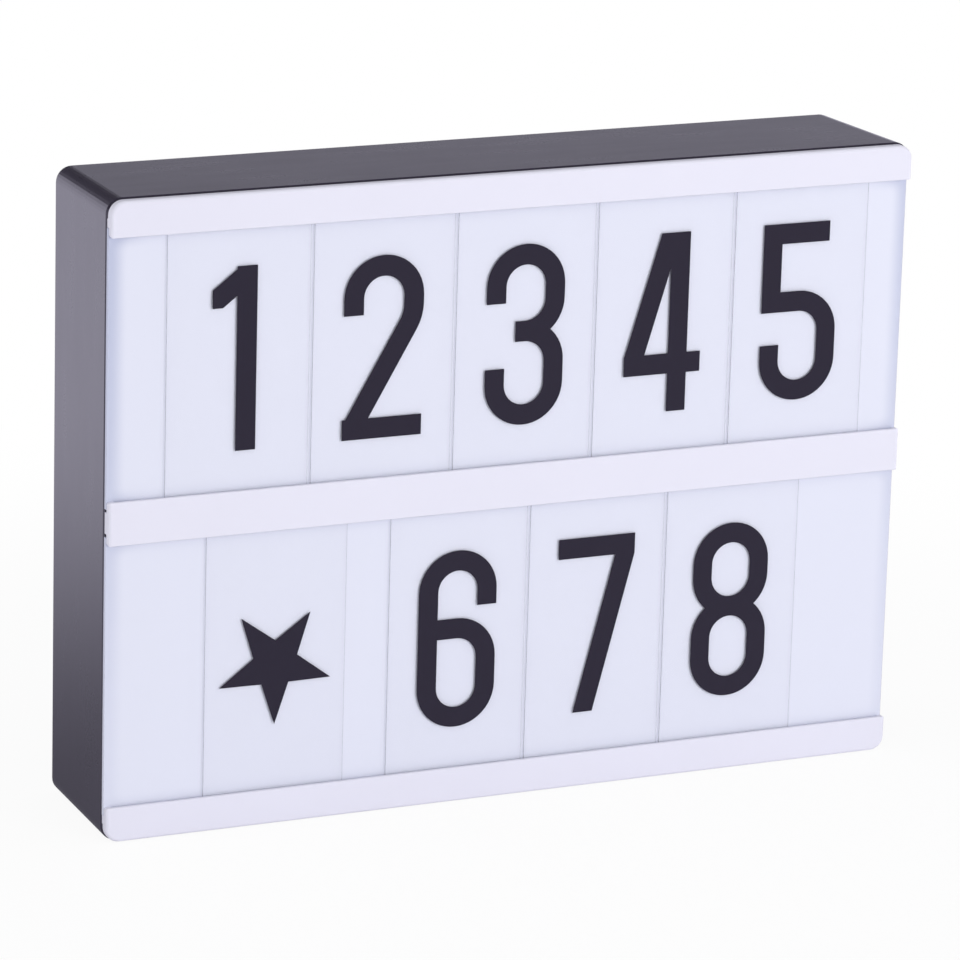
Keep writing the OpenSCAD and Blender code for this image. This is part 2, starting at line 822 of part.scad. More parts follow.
// One card in its groove; x is its left edge
module card(x, z) {
    color(card_colour)
        slab(card_d - card_t / 2, card_d + card_t / 2)
            soft_shape([x, z], [x + card_w, z + card_h], card_r);
}

module card_top(i) {
    card(top_row_x + (i - 1) * card_pitch, top_row_z);
}

module card_bottom(i) {
    card(i == 1 ? lone_card_x : low_row_x + (i - 2) * card_pitch, low_row_z);
}

// ---- Case ----

// The case's solid outer form: drafted sides, and a bevel round the front and the back
module case_form() {
    hull() {
        slab(0, skin)
            case_shape(0, rim_bevel, $fn = hull_facets);
        slab(rim_bevel, rim_bevel + skin)
            case_shape(rim_bevel, 0, $fn = hull_facets);
        slab(case_depth - back_edge - skin, case_depth - back_edge)
            case_shape(case_depth - back_edge, 0, $fn = hull_facets);
        slab(case_depth - skin, case_depth)
            case_shape(case_depth, back_edge, $fn = hull_facets);
    }
}

// The space inside the case's walls
module case_room() {
    hull() {
        slab(frame_t, frame_t + skin)
            case_shape(frame_t, wall, $fn = hull_facets);
        slab(inner_back_d - skin, inner_back_d)
            case_shape(inner_back_d, wall, $fn = hull_facets);
    }
}

// A keyhole's outline: a round end with a slot above it
module keyhole_shape(room) {
    circle(keyhole_r + room);
    translate([0, keyhole_rise])
        circle(keyhole_slot / 2 + room);
    box_shape([-keyhole_slot / 2 - room, 0], [keyhole_slot / 2 + room, keyhole_rise]);
}

// The place of a keyhole's pocket, grown by a margin
module keyhole_pocket(margin) {
    reach = keyhole_r + keyhole_room + margin;
    box_shape(
        [-reach, -reach],
        [reach, keyhole_rise + keyhole_slot / 2 + keyhole_room + margin]
    );
}

module at_keyholes() {
    for (side = [-1, 1])
        translate([side * keyhole_pitch / 2, keyhole_z])
            children();
}

// Ribs and pillars that stand on the back wall inside
module case_inner_forms() {
    // Battery bay
    slab(bay_front_d, inner_back_d + skin)
        box_shape([-bay_half - bay_wall, bay_low_z - bay_wall], [bay_half + bay_wall, bay_top_z + bay_wall]);
    // Latch pocket
    slab(pocket_floor_d - pocket_wall, inner_back_d + skin)
        box_shape(
            [-pocket_half - pocket_wall, bay_top_z],
            [pocket_half + pocket_wall, pocket_top_z + pocket_wall]
        );
    // Screw pillars
    for (s = screw_spots)
        bar(s[0], s[1], reflector_back_d, inner_back_d + skin, pillar_r);
    // Keyhole pockets
    slab(inner_back_d - keyhole_depth - keyhole_wall, inner_back_d + skin)
        at_keyholes()
            keyhole_pocket(keyhole_wall);
    // Board standoffs
    for (side = [-1, 1])
        bar(
            board_x - side * board_screw_x, board_z + side * board_screw_z,
            board_back_d, inner_back_d + skin, standoff_r
        );
    // Thicker wall behind the switch's recess
    slab(recess_floor_d, inner_back_d + skin)
        translate([board_x, switch_z])
            square([switch_w + 2 * rib_t, switch_h + 4 * rib_t], center = true);
    // Stiffening ribs between the bay, the pockets and the pillars
    slab(inner_back_d - rib_h, inner_back_d + skin) {
        for (side = [-1, 1])
            translate([side * (rebate_half + keyhole_pitch / 2) / 2, case_h / 2])
                square([rib_t, case_h - 2 * wall - 2 * rib_h], center = true);
        for (z = [screw_edge, case_h - screw_edge])
            translate([0, z])
                square([2 * screw_x, rib_t], center = true);
        translate([0, (pocket_top_z + keyhole_z) / 2])
            square([2 * screw_x, rib_t], center = true);
    }
}

// Slots and holes that are cut through the case
module case_cuts() {
    // Seat of the front frame
    slab(-cut, frame_t)
        case_shape(0, rim_lip);
    // Inside of the battery bay
    slab(bay_floor_d, case_depth + cut)
        box_shape([-bay_half, bay_low_z], [bay_half, bay_top_z]);
    // Rebate of the door
    slab(door_in_d, case_depth + cut)
        soft_shape([-rebate_half, rebate_low_z], [rebate_half, rebate_top_z], door_r + door_gap);
    // Slots for the door's hinge hooks
    for (side = [-1, 1])
        slab(case_depth - hook_swing_r - door_gap, door_in_d + skin)
            translate([side * hook_x, 0])
                box_shape(
                    [-hook_w / 2 - door_gap, door_low_z - hook_reach - 2 * door_gap],
                    [hook_w / 2 + door_gap, bay_low_z + skin]
                );
    // Latch pocket, with the notch for the latch's nose and the finger recess
    slab(pocket_floor_d, case_depth + cut)
        box_shape([-pocket_half, bay_top_z + bay_wall], [pocket_half, pocket_top_z]);
    slab(door_in_d, case_depth + cut)
        box_shape([-pocket_half, bay_top_z], [pocket_half, pocket_top_z]);
    slab(hook_in_d - door_gap, inner_back_d)
        box_shape([-pocket_half, pocket_top_z - skin], [pocket_half, pocket_top_z + nose_h]);
    bar(0, pocket_top_z, case_depth - thumb_depth, case_depth + cut, thumb_r);
    // Screw holes
    for (s = screw_spots) {
        bar(s[0], s[1], reflector_back_d - cut, case_depth, screw_r + screw_gap);
        bar(s[0], s[1], pillar_web_d, case_depth + cut, screw_head_r + screw_gap);
    }
    // Keyholes and the pockets behind them
    slab(inner_back_d - skin, case_depth + cut)
        at_keyholes()
            keyhole_shape(0);
    slab(inner_back_d - keyhole_depth, inner_back_d)
        at_keyholes()
            keyhole_pocket(0);
    // Pilot holes of the board's standoffs
    for (side = [-1, 1])
        bar(
            board_x - side * board_screw_x, board_z + side * board_screw_z,
            board_back_d - cut, inner_back_d, board_screw_r + thread_gap
        );
    // Recess and slot of the switch
    slab(recess_d, case_depth + cut)
        translate([board_x, switch_z])
            soft_shape([-switch_w, -switch_h - door_r] / 2, [switch_w, switch_h + door_r] / 2, door_r);
    slab(recess_floor_d - cut, recess_d + skin)
        translate([board_x, switch_z])
            square([switch_travel + knob_w + 2 * knob_gap, knob_h + 2 * knob_gap], center = true);
    // Hole of the power socket, with a shallow ring round it
    bar(board_x, socket_z, inner_back_d - cut, case_depth + cut, socket_r + door_gap);
    bar(board_x, socket_z, case_depth - back_edge, case_depth + cut, socket_r + 2 * back_edge + door_gap);
    // Slots for the solder tabs of the two end contacts
    tab_slot_shape(-1, 0);
    tab_slot_shape(1, cell_count - 1);
}

// Slot in the bay's wall for a solder tab; side is left or right, i counts the cells
module tab_slot_shape(side, i) {
    slab(solder_tab_d - seat_gap, solder_tab_d + contact_t + seat_gap)
        translate([side * (bay_half + bay_wall / 2), cell_z(i)])
            square([bay_wall + 2 * skin, solder_tab_w + 2 * seat_gap], center = true);
}

// Ribs in the bay that hold the contact plates against its ends
module contact_grips() {
    grip_x = plate_x - seat_gap;
    both_sides()
        slab(bay_floor_d - skin, bay_floor_d + grip_h)
            for (i = [0:cell_count])
                translate([grip_x - grip_t / 2, cell_z(0) + (i - 1 / 2) * cell_pitch])
                    square([grip_t, grip_t], center = true);
}

module back_housing() {
    color(case_colour) {
        difference() {
            union() {
                difference() {
                    case_form();
                    case_room();
                }
                case_inner_forms();
            }
            case_cuts();
        }
        contact_grips();
    }
}

// Reflector sheet, held between the frame's posts and the case's pillars
module reflector_sheet() {
    color(rail_colour)
        slab(reflector_front_d, reflector_back_d)
            difference() {
                case_shape(reflector_back_d, wall + screw_gap);
                for (s = screw_spots)
                    translate(s)
                        circle(screw_r + screw_gap);
                for (z = [low_strip_z, top_strip_z])
                    translate([strip_lead_x, z])
                        circle(lead_d);
            }
}

// ---- Battery door ----

// Side view of the latch: down from the door, round a bend, and up to its pad
module latch_shape() {
    out_y = rim_y + door_out_d;
    in_y = rim_y + door_in_d;
    bend_y = rim_y + latch_bend_d;
    box_shape([bend_y, leg_low_z], [out_y, leg_low_z + latch_t]);
    box_shape([bend_y, leg_high_z], [out_y, leg_high_z + latch_t]);
    box_shape([bend_y - latch_t + skin, leg_low_z + latch_t], [bend_y, leg_high_z]);
    translate([bend_y, leg_low_z + latch_t])
        intersection() {
            circle(latch_t);
            box_shape([-latch_t, -latch_t], [skin, skin]);
        }
    translate([bend_y, leg_high_z])
        intersection() {
            circle(latch_t);
            box_shape([-latch_t, -skin], [skin, latch_t]);
        }
    // Nose with a sloped face, and the pad for the finger
    polygon([
        [rim_y + hook_in_d, leg_high_z + latch_t - skin],
        [rim_y + hook_out_d, leg_high_z + latch_t - skin],
        [rim_y + hook_out_d, nose_z],
        [rim_y + hook_out_d - hook_t / 3, nose_z]
    ]);
    box_shape([in_y, leg_high_z], [out_y, nose_z]);
    box_shape([in_y, door_top_z - skin], [out_y, leg_low_z + latch_t]);
}

// Side view of a hinge hook: a root on the door and a toe under the case's back wall,
// with a heel that is round about the hinge's axis on the case's back face
module hook_shape() {
    intersection() {
        union() {
            box_shape(
                [rim_y + hook_in_d, door_low_z + door_gap],
                [rim_y + door_in_d + skin, door_low_z + hook_root_h]
            );
            box_shape(
                [rim_y + hook_in_d, door_low_z - hook_reach],
                [rim_y + hook_out_d, door_low_z + hook_root_h]
            );
        }
        translate([rim_y + case_depth, door_low_z])
            circle(hook_swing_r);
    }
}

module battery_door() {
    color(case_colour) {
        slab(door_in_d, door_out_d)
            soft_shape([-door_half, door_low_z], [door_half, door_top_z], door_r);
        for (side = [-1, 1])
            run_x(side * hook_x - hook_w / 2, side * hook_x + hook_w / 2)
                hook_shape();
        run_x(-latch_w / 2, latch_w / 2)
            latch_shape();
    }
}

// ---- Cells and contacts ----

function cell_z(i) = bay_z + (i - (cell_count - 1) / 2) * cell_pitch;

// A cell on its side with its nub to the right, or to the left where it is turned
module battery_cell(i) {
    turned = i % 2 == 0;
    edge = 0.5;
    foot_x = -plate_x + spring_len;
    color(cell_colour)
        mirror([turned ? 1 : 0, 0, 0])
            translate([foot_x, rim_y + cell_d_axis, cell_z(i - 1)])
                rotate([0, 90, 0])
                    rotate_extrude()
                        polygon([
                            [0, 0],
                            [cell_d / 2 - edge, 0],
                            [cell_d / 2, edge],
                            [cell_d / 2, cell_len - nub_h - edge],
                            [cell_d / 2 - edge, cell_len - nub_h],
                            [nub_d / 2, cell_len - nub_h],
                            [nub_d / 2, cell_len],
                            [0, cell_len]
                        ]);
}

// A contact plate on the bay's right end that spans some cells, counted from the lowest
module contact_plate(first, last) {
    half = (cell_pitch - grip_t) / 2;
    run_x(plate_x, bay_half)
        translate([rim_y + cell_d_axis - contact_w / 2, cell_z(first) - half])
            square([contact_w, (last - first) * cell_pitch + 2 * half]);
}

// Raised boss of a contact on the bay's right end
module contact_boss(i) {
    translate([plate_x - boss_h, rim_y + cell_d_axis, cell_z(i)])
        rotate([0, 90, 0])
            cylinder(h = boss_h + contact_t / 2, r1 = boss_r - boss_h / 2, r2 = boss_r);
}

// Solder tab of a contact on the bay's right end, through the bay's wall
module solder_tab(i) {
    slab(solder_tab_d, solder_tab_d + contact_t)
        box_shape(
            [plate_x, cell_z(i) - solder_tab_w / 2],
            [solder_tab_x, cell_z(i) + solder_tab_w / 2]
        );
}

module contact_negative() {
    color(metal_colour)
        mirror([1, 0, 0]) {
            contact_plate(0, 0);
            solder_tab(0);
        }
}

module contact_positive() {
    color(metal_colour) {
        contact_plate(cell_count - 1, cell_count - 1);
        contact_boss(cell_count - 1);
        solder_tab(cell_count - 1);
    }
}

module bridge_left() {
    color(metal_colour)
        mirror([1, 0, 0]) {
            contact_plate(1, cell_count - 1);
            contact_boss(1);
        }
}

module bridge_right() {
    color(metal_colour) {
        contact_plate(0, 1);
        contact_boss(0);
    }
}

// Path of a contact spring along X from its plate: out, round its curls, and on to the cell
function curl_point(u, length) =
    let (r = spring_foot_r + (spring_tip_r - spring_foot_r) * u, a = 360 * spring_curls * u)
    [spring_start + length * u, r * cos(a), r * sin(a)];
spring_start = spring_wire_d + spring_bend_r;
function spring_path() =
    let (
        length = spring_len - 2 * spring_start,
        count = curl_rings * spring_curls,
        curls = [for (k = [0:count]) curl_point(k / count, length)],
        first_t = unit(curls[1] - curls[0]),
        last_t = unit(curls[count] - curls[count - 1]),
        foot = [for (a = [90, 60, 30]) curls[0] - bend_step(a, flat(first_t))],
        tip = [for (a = [30, 60, 90]) curls[count] + bend_step(a, flat(last_t))]
    )
    concat(
        [[0, foot[0][1], foot[0][2]]],
        foot,
        curls,
        tip,
        [[spring_len, tip[2][1], tip[2][2]]]
    );
function flat(t) = unit([0, t[1], t[2]]);
function bend_step(a, t) = spring_bend_r * (sin(a) * t + (1 - cos(a)) * [1, 0, 0]);

// Least gap between stretches of the spring that lie at least half a curl apart
function self_gap(p, apart) =
    min([for (i = [0:len(p) - 1 - apart], j = [i + apart:len(p) - 1]) norm(p[i] - p[j])]) - spring_wire_d;

module contact_spring(i) {
    tube(
        [for (q = spring_path()) q + [-plate_x, rim_y + cell_d_axis, cell_z(i)]],
        spring_wire_d / 2, spring_sides
    );
}

module contact_springs() {
    echo(spring_self_gap = self_gap(spring_path(), curl_rings / 2));
    color(metal_colour) {
        contact_spring(0);
        mirror([1, 0, 0])
            contact_spring(1);
        contact_spring(cell_count - 1);
    }
}

// ---- Electronics ----

module control_board() {
    color(board_colour)
        slab(board_front_d, board_back_d)
            translate([board_x, board_z])
                difference() {
                    soft_shape([-board_w, -board_h] / 2, [board_w, board_h] / 2, board_corner_r);
                    for (side = [-1, 1])
                        translate([-side * board_screw_x, side * board_screw_z])
                            circle(board_screw_r + seat_gap);
                }
}

// A chip and a round capacitor on the board's front
module board_parts() {
    chip = [6, 5, 1.8];
    can_r = 2.5;
    can_h = 5;
    color(case_colour) {
        slab(board_front_d - chip[2], board_front_d)
            translate([board_x, board_z - chip[1]])
                square([chip[0], chip[1]], center = true);
        bar(board_x + board_screw_x / 2, board_z + chip[1], board_front_d - can_h, board_front_d, can_r);
    }
}

module board_screws() {
    color(metal_colour)
        for (side = [-1, 1]) {
            x = board_x - side * board_screw_x;
            z = board_z + side * board_screw_z;
            bar(x, z, board_front_d - board_head_t, board_front_d, board_head_r);
            bar(x, z, board_front_d - skin, inner_back_d - cut / 2, board_screw_r);
        }
}

module switch_body() {
    color(metal_colour)
        difference() {
            slab(board_back_d, switch_front_d)
                translate([board_x, switch_z])
                    square([switch_w, switch_h], center = true);
            slab(switch_front_d - knob_foot_t, switch_front_d + cut)
                translate([board_x, switch_z])
                    square([switch_travel + knob_w + 2 * knob_gap, knob_h + 2 * knob_gap], center = true);
        }
}

// Knob of the slide switch, at the end of its travel where the light is off
module switch_knob() {
    grip = 0.6;
    off_x = board_x - switch_travel / 2;
    color(case_colour)
        difference() {
            slab(switch_front_d - knob_foot_t + knob_gap, knob_out_d)
                translate([off_x, switch_z])
                    square([knob_w, knob_h], center = true);
            for (i = [-1, 0, 1])
                slab(knob_out_d - grip / 2, knob_out_d + cut)
                    translate([off_x + 2 * i * grip, switch_z])
                        square([grip, knob_h + cut], center = true);
        }
}

// Round socket for a plug, on a square base
module power_socket() {
    color(case_colour) {
        difference() {
            union() {
                slab(board_back_d, socket_shoulder_d)
                    translate([board_x, socket_z])
                        square([socket_base, socket_base], center = true);
                bar(board_x, socket_z, board_back_d + cut, socket_out_d, socket_r);
            }
            bar(board_x, socket_z, socket_out_d - socket_depth, socket_out_d + cut, socket_bore_r);
        }
        bar(board_x, socket_z, socket_out_d - socket_depth - skin, socket_out_d - cut, socket_pin_r);
    }
}

// A long narrow LED board on the reflector
module led_board(z) {
    color(board_colour)
        slab(strip_front_d, reflector_front_d)
            translate([0, z])
                soft_shape([-strip_w, -strip_h] / 2, [strip_w, strip_h] / 2, board_corner_r);
}

module led_board_top() {
    led_board(top_strip_z);
}

module led_board_bottom() {
    led_board(low_strip_z);
}

// A row of LEDs, each a square body with a round lens
module led_row(z) {
    lens_h = 0.4;
    lens_r = 1.3;
    color(sheet_colour)
        for (i = [0:led_count - 1]) {
            x = (i - (led_count - 1) / 2) * led_pitch;
            slab(strip_front_d - led_t, strip_front_d)
                translate([x, z])
                    square([led_size, led_size], center = true);
            bar(x, z, strip_front_d - led_t - lens_h, strip_front_d - led_t + skin, lens_r);
        }
}

module leds_top() {
    led_row(top_strip_z);
}

module leds_bottom() {
    led_row(low_strip_z);
}

// Two resistors on each LED board, between LEDs
module led_resistors() {
    chip = [3, 1.6, 0.6];
    color(case_colour)
        for (z = [low_strip_z, top_strip_z], side = [-1, 1])
            slab(strip_front_d - chip[2], strip_front_d)
                translate([side * led_pitch, z])
                    square([chip[0], chip[1]], center = true);
}

// ---- Screws and leads ----

module case_screws() {
    cross_w = 0.8;
    color(metal_colour)
        for (s = screw_spots)
            difference() {
                union() {
                    bar(s[0], s[1], pillar_web_d, pillar_web_d + screw_head_t, screw_head_r);
                    bar(s[0], s[1], pillar_web_d - screw_len, pillar_web_d + skin, screw_r);
                }
                slab(pillar_web_d + screw_head_t / 3, pillar_web_d + screw_head_t + cut)
                    translate(s) {
                        square([screw_head_r, cross_w], center = true);
                        square([cross_w, screw_head_r], center = true);
                    }
            }
}

// A lead along a route, from one end point to another
module lead(from, route, to) {
    tube(placed(concat([from], smooth(route, 3), [to])), lead_r, lead_sides);
}

// Leads from the two end contacts to the board's front
module battery_leads() {
    color(case_colour) {
        lead(
            [-tab_end_x, solder_tab_d, cell_z(0)],
            negative_lead,
            [pad_x, board_front_d, negative_pad_z]
        );
        lead(
            [tab_end_x, solder_tab_d, cell_z(2)],
            positive_lead,
            [pad_x, board_front_d, positive_pad_z]
        );
    }
}

// Leads from the board's front, through the reflector, to the backs of the LED boards
module led_leads() {
    color(case_colour) {
        lead(
            [strip_pad_x, board_front_d, high_pad_z],
            high_lead,
            [strip_lead_x, reflector_front_d, top_strip_z]
        );
        lead(
            [strip_pad_x, board_front_d, low_pad_z],
            low_lead,
            [strip_lead_x, reflector_front_d, low_strip_z]
        );
    }
}

back_housing();
front_frame();
diffuser_panel();
top_rail();
middle_rail();
bottom_rail();
for (i = [1:top_count])
    card_top(i);
for (i = [1:low_count + 1])
    card_bottom(i);
battery_door();
for (i = [1:cell_count])
    battery_cell(i);
contact_negative();
contact_positive();
bridge_left();
bridge_right();
contact_springs();
switch_body();
switch_knob();
control_board();
board_parts();
power_socket();
led_board_top();
led_board_bottom();
leds_top();
leds_bottom();
led_resistors();
reflector_sheet();
case_screws();
board_screws();
battery_leads();
led_leads();
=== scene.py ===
"""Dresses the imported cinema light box: finishes, card prints, small marks, stage and camera."""

import math

import bmesh
import bpy
from mathutils import Matrix, Vector


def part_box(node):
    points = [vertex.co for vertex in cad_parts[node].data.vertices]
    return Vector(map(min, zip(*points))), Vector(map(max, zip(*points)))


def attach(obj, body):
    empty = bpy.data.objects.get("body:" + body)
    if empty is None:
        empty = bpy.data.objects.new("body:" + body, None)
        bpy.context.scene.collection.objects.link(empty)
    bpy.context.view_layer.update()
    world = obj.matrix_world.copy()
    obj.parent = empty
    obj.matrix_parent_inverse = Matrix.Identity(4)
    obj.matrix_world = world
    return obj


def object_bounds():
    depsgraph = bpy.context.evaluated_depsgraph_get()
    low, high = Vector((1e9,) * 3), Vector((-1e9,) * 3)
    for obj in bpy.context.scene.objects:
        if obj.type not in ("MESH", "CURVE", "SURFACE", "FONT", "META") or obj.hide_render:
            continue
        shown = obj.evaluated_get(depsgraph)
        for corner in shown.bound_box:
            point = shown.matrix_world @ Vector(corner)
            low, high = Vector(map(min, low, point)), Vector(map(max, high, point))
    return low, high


bl_info = {
    "name": "Cinema Light Box",
    "version": (1, 0, 0),
    "blender": (4, 5, 0),
    "location": "View3D > Sidebar > Light Box",
    "description": "Finishes and prints for a two-row light box with sliding character cards",
    "category": "Object",
}

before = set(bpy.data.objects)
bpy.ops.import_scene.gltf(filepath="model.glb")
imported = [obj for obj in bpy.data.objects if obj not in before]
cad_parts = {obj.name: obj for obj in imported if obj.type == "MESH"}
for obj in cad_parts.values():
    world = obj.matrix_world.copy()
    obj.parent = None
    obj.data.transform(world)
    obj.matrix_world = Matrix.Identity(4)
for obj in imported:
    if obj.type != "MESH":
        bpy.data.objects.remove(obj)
CAD_LOW, CAD_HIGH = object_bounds()
MM = 0.001

RAILS = ("top_rail", "middle_rail", "bottom_rail")
CARDS = sorted(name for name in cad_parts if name.startswith("card_"))
CELLS = sorted(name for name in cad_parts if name.startswith("battery_cell_"))


# ---- Materials: sockets written as Python expressions ----

class Wire:
    """A socket of a finish's node tree; Python's operators on it add Math nodes."""

    def __init__(self, finish, socket):
        self.finish = finish
        self.socket = socket

    def combine(self, operation, *values):
        """A Math node on some values."""
        return self.finish.add("ShaderNodeMath", {"operation": operation}, dict(enumerate(values)))

    def __add__(self, other):
        return self.combine("ADD", self, other)

    def __radd__(self, other):
        return self.combine("ADD", other, self)

    def __sub__(self, other):
        return self.combine("SUBTRACT", self, other)

    def __rsub__(self, other):
        return self.combine("SUBTRACT", other, self)

    def __mul__(self, other):
        return self.combine("MULTIPLY", self, other)

    def __rmul__(self, other):
        return self.combine("MULTIPLY", other, self)

    def __abs__(self):
        return self.combine("ABSOLUTE", self)

    def most(self, other):
        """The greater of two values, which joins two masks."""
        return self.combine("MAXIMUM", self, other)

    def over(self, edge, soft):
        """1 where the value lies above an edge and 0 below it, blended over a soft width."""
        return self.finish.add(
            "ShaderNodeMapRange",
            {"interpolation_type": "SMOOTHSTEP"},
            {"Value": self, "From Min": edge - soft / 2, "From Max": edge + soft / 2},
        )


class Nodes:
    """A node tree that is filled through one method."""

    def __init__(self, tree):
        self.tree = tree
        self.tree.nodes.clear()

    def feed(self, node, sockets):
        """Links wires to a node's sockets and sets plain values on them."""
        for key, value in sockets.items():
            if isinstance(value, Wire):
                self.tree.links.new(value.socket, node.inputs[key])
            elif node.inputs[key].type == "RGBA":
                node.inputs[key].default_value = (*value, 1)
            else:
                node.inputs[key].default_value = value

    def add(self, kind, settings=None, sockets=None, out=0):
        """Adds a node with its settings and sockets, and gives one of its outputs."""
        node = self.tree.nodes.new(kind)
        for key, value in (settings or {}).items():
            setattr(node, key, value)
        self.feed(node, sockets or {})
        return Wire(self, node.outputs[out])

    def axes(self, vector):
        """The X, Y and Z of a vector."""
        split = self.add("ShaderNodeSeparateXYZ", None, {0: vector}).socket.node
        return [Wire(self, split.outputs[axis]) for axis in "XYZ"]

    def any_ray(self, *kinds):
        """1 for rays of any of the kinds, which are named as Light Path names them."""
        any_kind, *others = [self.add("ShaderNodeLightPath", out=f"Is {kind} Ray") for kind in kinds]
        for other in others:
            any_kind = any_kind.most(other)
        return any_kind

    def surface(self, shader):
        """Sends a shader to the tree's output, in place of any earlier one."""
        output = next((n for n in self.tree.nodes if n.bl_idname == self.output), None)
        self.feed(output or self.tree.nodes.new(self.output), {"Surface": shader})


class Surround(Nodes):
    """The world's node tree."""

    output = "ShaderNodeOutputWorld"

    def __init__(self, name):
        self.world = bpy.data.worlds.new(name)
        self.world.use_nodes = True
        super().__init__(self.world.node_tree)


class Finish(Nodes):
    """A procedural material on object coordinates, around one Principled shader."""

    output = "ShaderNodeOutputMaterial"

    def __init__(self, name, **constants):
        self.material = bpy.data.materials.new(name)
        self.material.use_nodes = True
        super().__init__(self.material.node_tree)
        self.shader = self.tree.nodes.new("ShaderNodeBsdfPrincipled")
        self.surface(Wire(self, self.shader.outputs[0]))
        self.set(**constants)

    def set(self, **sockets):
        """Feeds the Principled shader's sockets, with _ for a space in their names."""
        self.feed(self.shader, {key.replace("_", " "): value for key, value in sockets.items()})
        return self.material

    def here(self):
        """Object coordinates."""
        return self.add("ShaderNodeTexCoord", out="Object")

    def noise(self, vector, size, detail=2):
        """Smooth noise from 0 to 1 whose features are about one size across, in metres."""
        return self.add("ShaderNodeTexNoise", None, {"Vector": vector, "Scale": 1 / size, "Detail": detail})

    def distance(self, vector, place):
        """How far a coordinate lies from a fixed place."""
        return self.add("ShaderNodeVectorMath", {"operation": "DISTANCE"}, {0: vector, 1: place}, "Value")

    def stretch(self, vector, scale):
        """A coordinate scaled by axis: a scale below 1 draws a pattern out along that axis."""
        return self.add("ShaderNodeMapping", None, {"Vector": vector, "Scale": scale})

    def tint(self, factor, low, high):
        """A colour between two colours."""
        return self.add("ShaderNodeMix", {"data_type": "RGBA"}, {"Factor": factor, 6: low, 7: high}, 2)

    def relief(self, height, depth, strength=1.0):
        """A bump of a depth in metres."""
        return self.add("ShaderNodeBump", None, {"Height": height, "Distance": depth, "Strength": strength})


def shade(colour, share):
    """A colour made darker or lighter by a share."""
    return tuple(min(1.0, part * share) for part in colour)


def dress(nodes, material):
    """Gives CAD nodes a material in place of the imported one."""
    for name in nodes:
        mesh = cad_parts[name].data
        mesh.materials.clear()
        mesh.materials.append(material)


# ---- Meshes ----

def new_piece(name, bm, material, body):
    """Makes a finished object at the origin from a bmesh, and lets it ride on a body."""
    mesh = bpy.data.meshes.new(name)
    bmesh.ops.recalc_face_normals(bm, faces=bm.faces)
    bm.to_mesh(mesh)
    bm.free()
    mesh.materials.append(material)
    piece = bpy.data.objects.new(name, mesh)
    bpy.context.scene.collection.objects.link(piece)
    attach(piece, body)
    return piece


def in_fixed_order(bm):
    """Sorts a mesh's edges and faces by their corners, because extruding leaves their order to chance."""
    bm.verts.index_update()
    for parts in (bm.edges, bm.faces):
        ranked = sorted(parts, key=lambda part: sorted(vert.index for vert in part.verts))
        for rank, part in enumerate(ranked):
            part.index = rank
        parts.sort()


def thicken(bm, depth):
    """Turns flat faces in the X-Z plane into a plate that stands forwards by a depth."""
    raised = bmesh.ops.extrude_face_region(bm, geom=bm.faces[:])
    verts = [part for part in raised["geom"] if isinstance(part, bmesh.types.BMVert)]
    bmesh.ops.translate(bm, verts=verts, vec=(0, -depth, 0))
    in_fixed_order(bm)
    bmesh.ops.recalc_face_normals(bm, faces=bm.faces)


class Pen:
    """Draws one ribbon of even width in the X-Z plane: it goes straight and turns, as a pen does."""

    ARC_STEP = math.radians(7.5)
    MERGE = 0.01 * MM

    def __init__(self, start, heading, width):
        self.bm = bmesh.new()
        self.spot = Vector((start[0], 0, start[1]))
        self.heading = math.radians(heading)
        ends = [self.bm.verts.new(self.spot + side * width / 2 * self.left()) for side in (1, -1)]
        self.edge = self.bm.edges.new(ends)

    def ahead(self):
        """The way the pen goes."""
        return Vector((math.cos(self.heading), 0, math.sin(self.heading)))

    def left(self):
        """The way to the pen's left."""
        return Vector((-math.sin(self.heading), 0, math.cos(self.heading)))

    def go(self, length):
        """Goes straight on."""
        grown = bmesh.ops.extrude_edge_only(self.bm, edges=[self.edge])["geom"]
        verts = [part for part in grown if isinstance(part, bmesh.types.BMVert)]
        bmesh.ops.translate(self.bm, verts=verts, vec=self.ahead() * length)
        self.edge = next(
            part for part in grown
            if isinstance(part, bmesh.types.BMEdge) and all(v in verts for v in part.verts)
        )
        self.spot += self.ahead() * length
        return self

    def turn(self, degrees, radius):
        """Turns left by a positive angle or right by a negative one, on a radius of the ribbon's middle."""
        angle = math.radians(degrees)
        centre = self.spot + self.left() * math.copysign(radius, angle)
        swept = bmesh.ops.spin(
            self.bm, geom=[self.edge, *self.edge.verts], cent=centre, axis=(0, -1, 0),
            angle=angle, steps=max(2, round(abs(angle) / self.ARC_STEP)),
        )["geom_last"]
        self.edge = next(part for part in swept if isinstance(part, bmesh.types.BMEdge))
        self.spot = centre + Matrix.Rotation(angle, 3, (0, -1, 0)) @ (self.spot - centre)
        self.heading += angle
        return self

    def trim(self, x=None, z=None, keep=1):
        """Cuts the ribbon at one x or z and keeps what lies above it, or below it where keep is -1."""
        place = (x or 0, 0, z or 0)
        normal = (keep, 0, 0) if x is not None else (0, 0, keep)
        geometry = [*self.bm.verts, *self.bm.edges, *self.bm.faces]
        bmesh.ops.bisect_plane(self.bm, geom=geometry, plane_co=place, plane_no=normal, clear_inner=True)
        return self

    def plate(self, depth, place):
        """The finished stroke as an object, for joining."""
        bmesh.ops.remove_doubles(self.bm, verts=self.bm.verts, dist=self.MERGE)
        thicken(self.bm, depth)
        bmesh.ops.translate(self.bm, verts=self.bm.verts, vec=place)
        mesh = bpy.data.meshes.new("stroke")
        self.bm.to_mesh(mesh)
        self.bm.free()
        stroke = bpy.data.objects.new("stroke", mesh)
        bpy.context.scene.collection.objects.link(stroke)
        return stroke


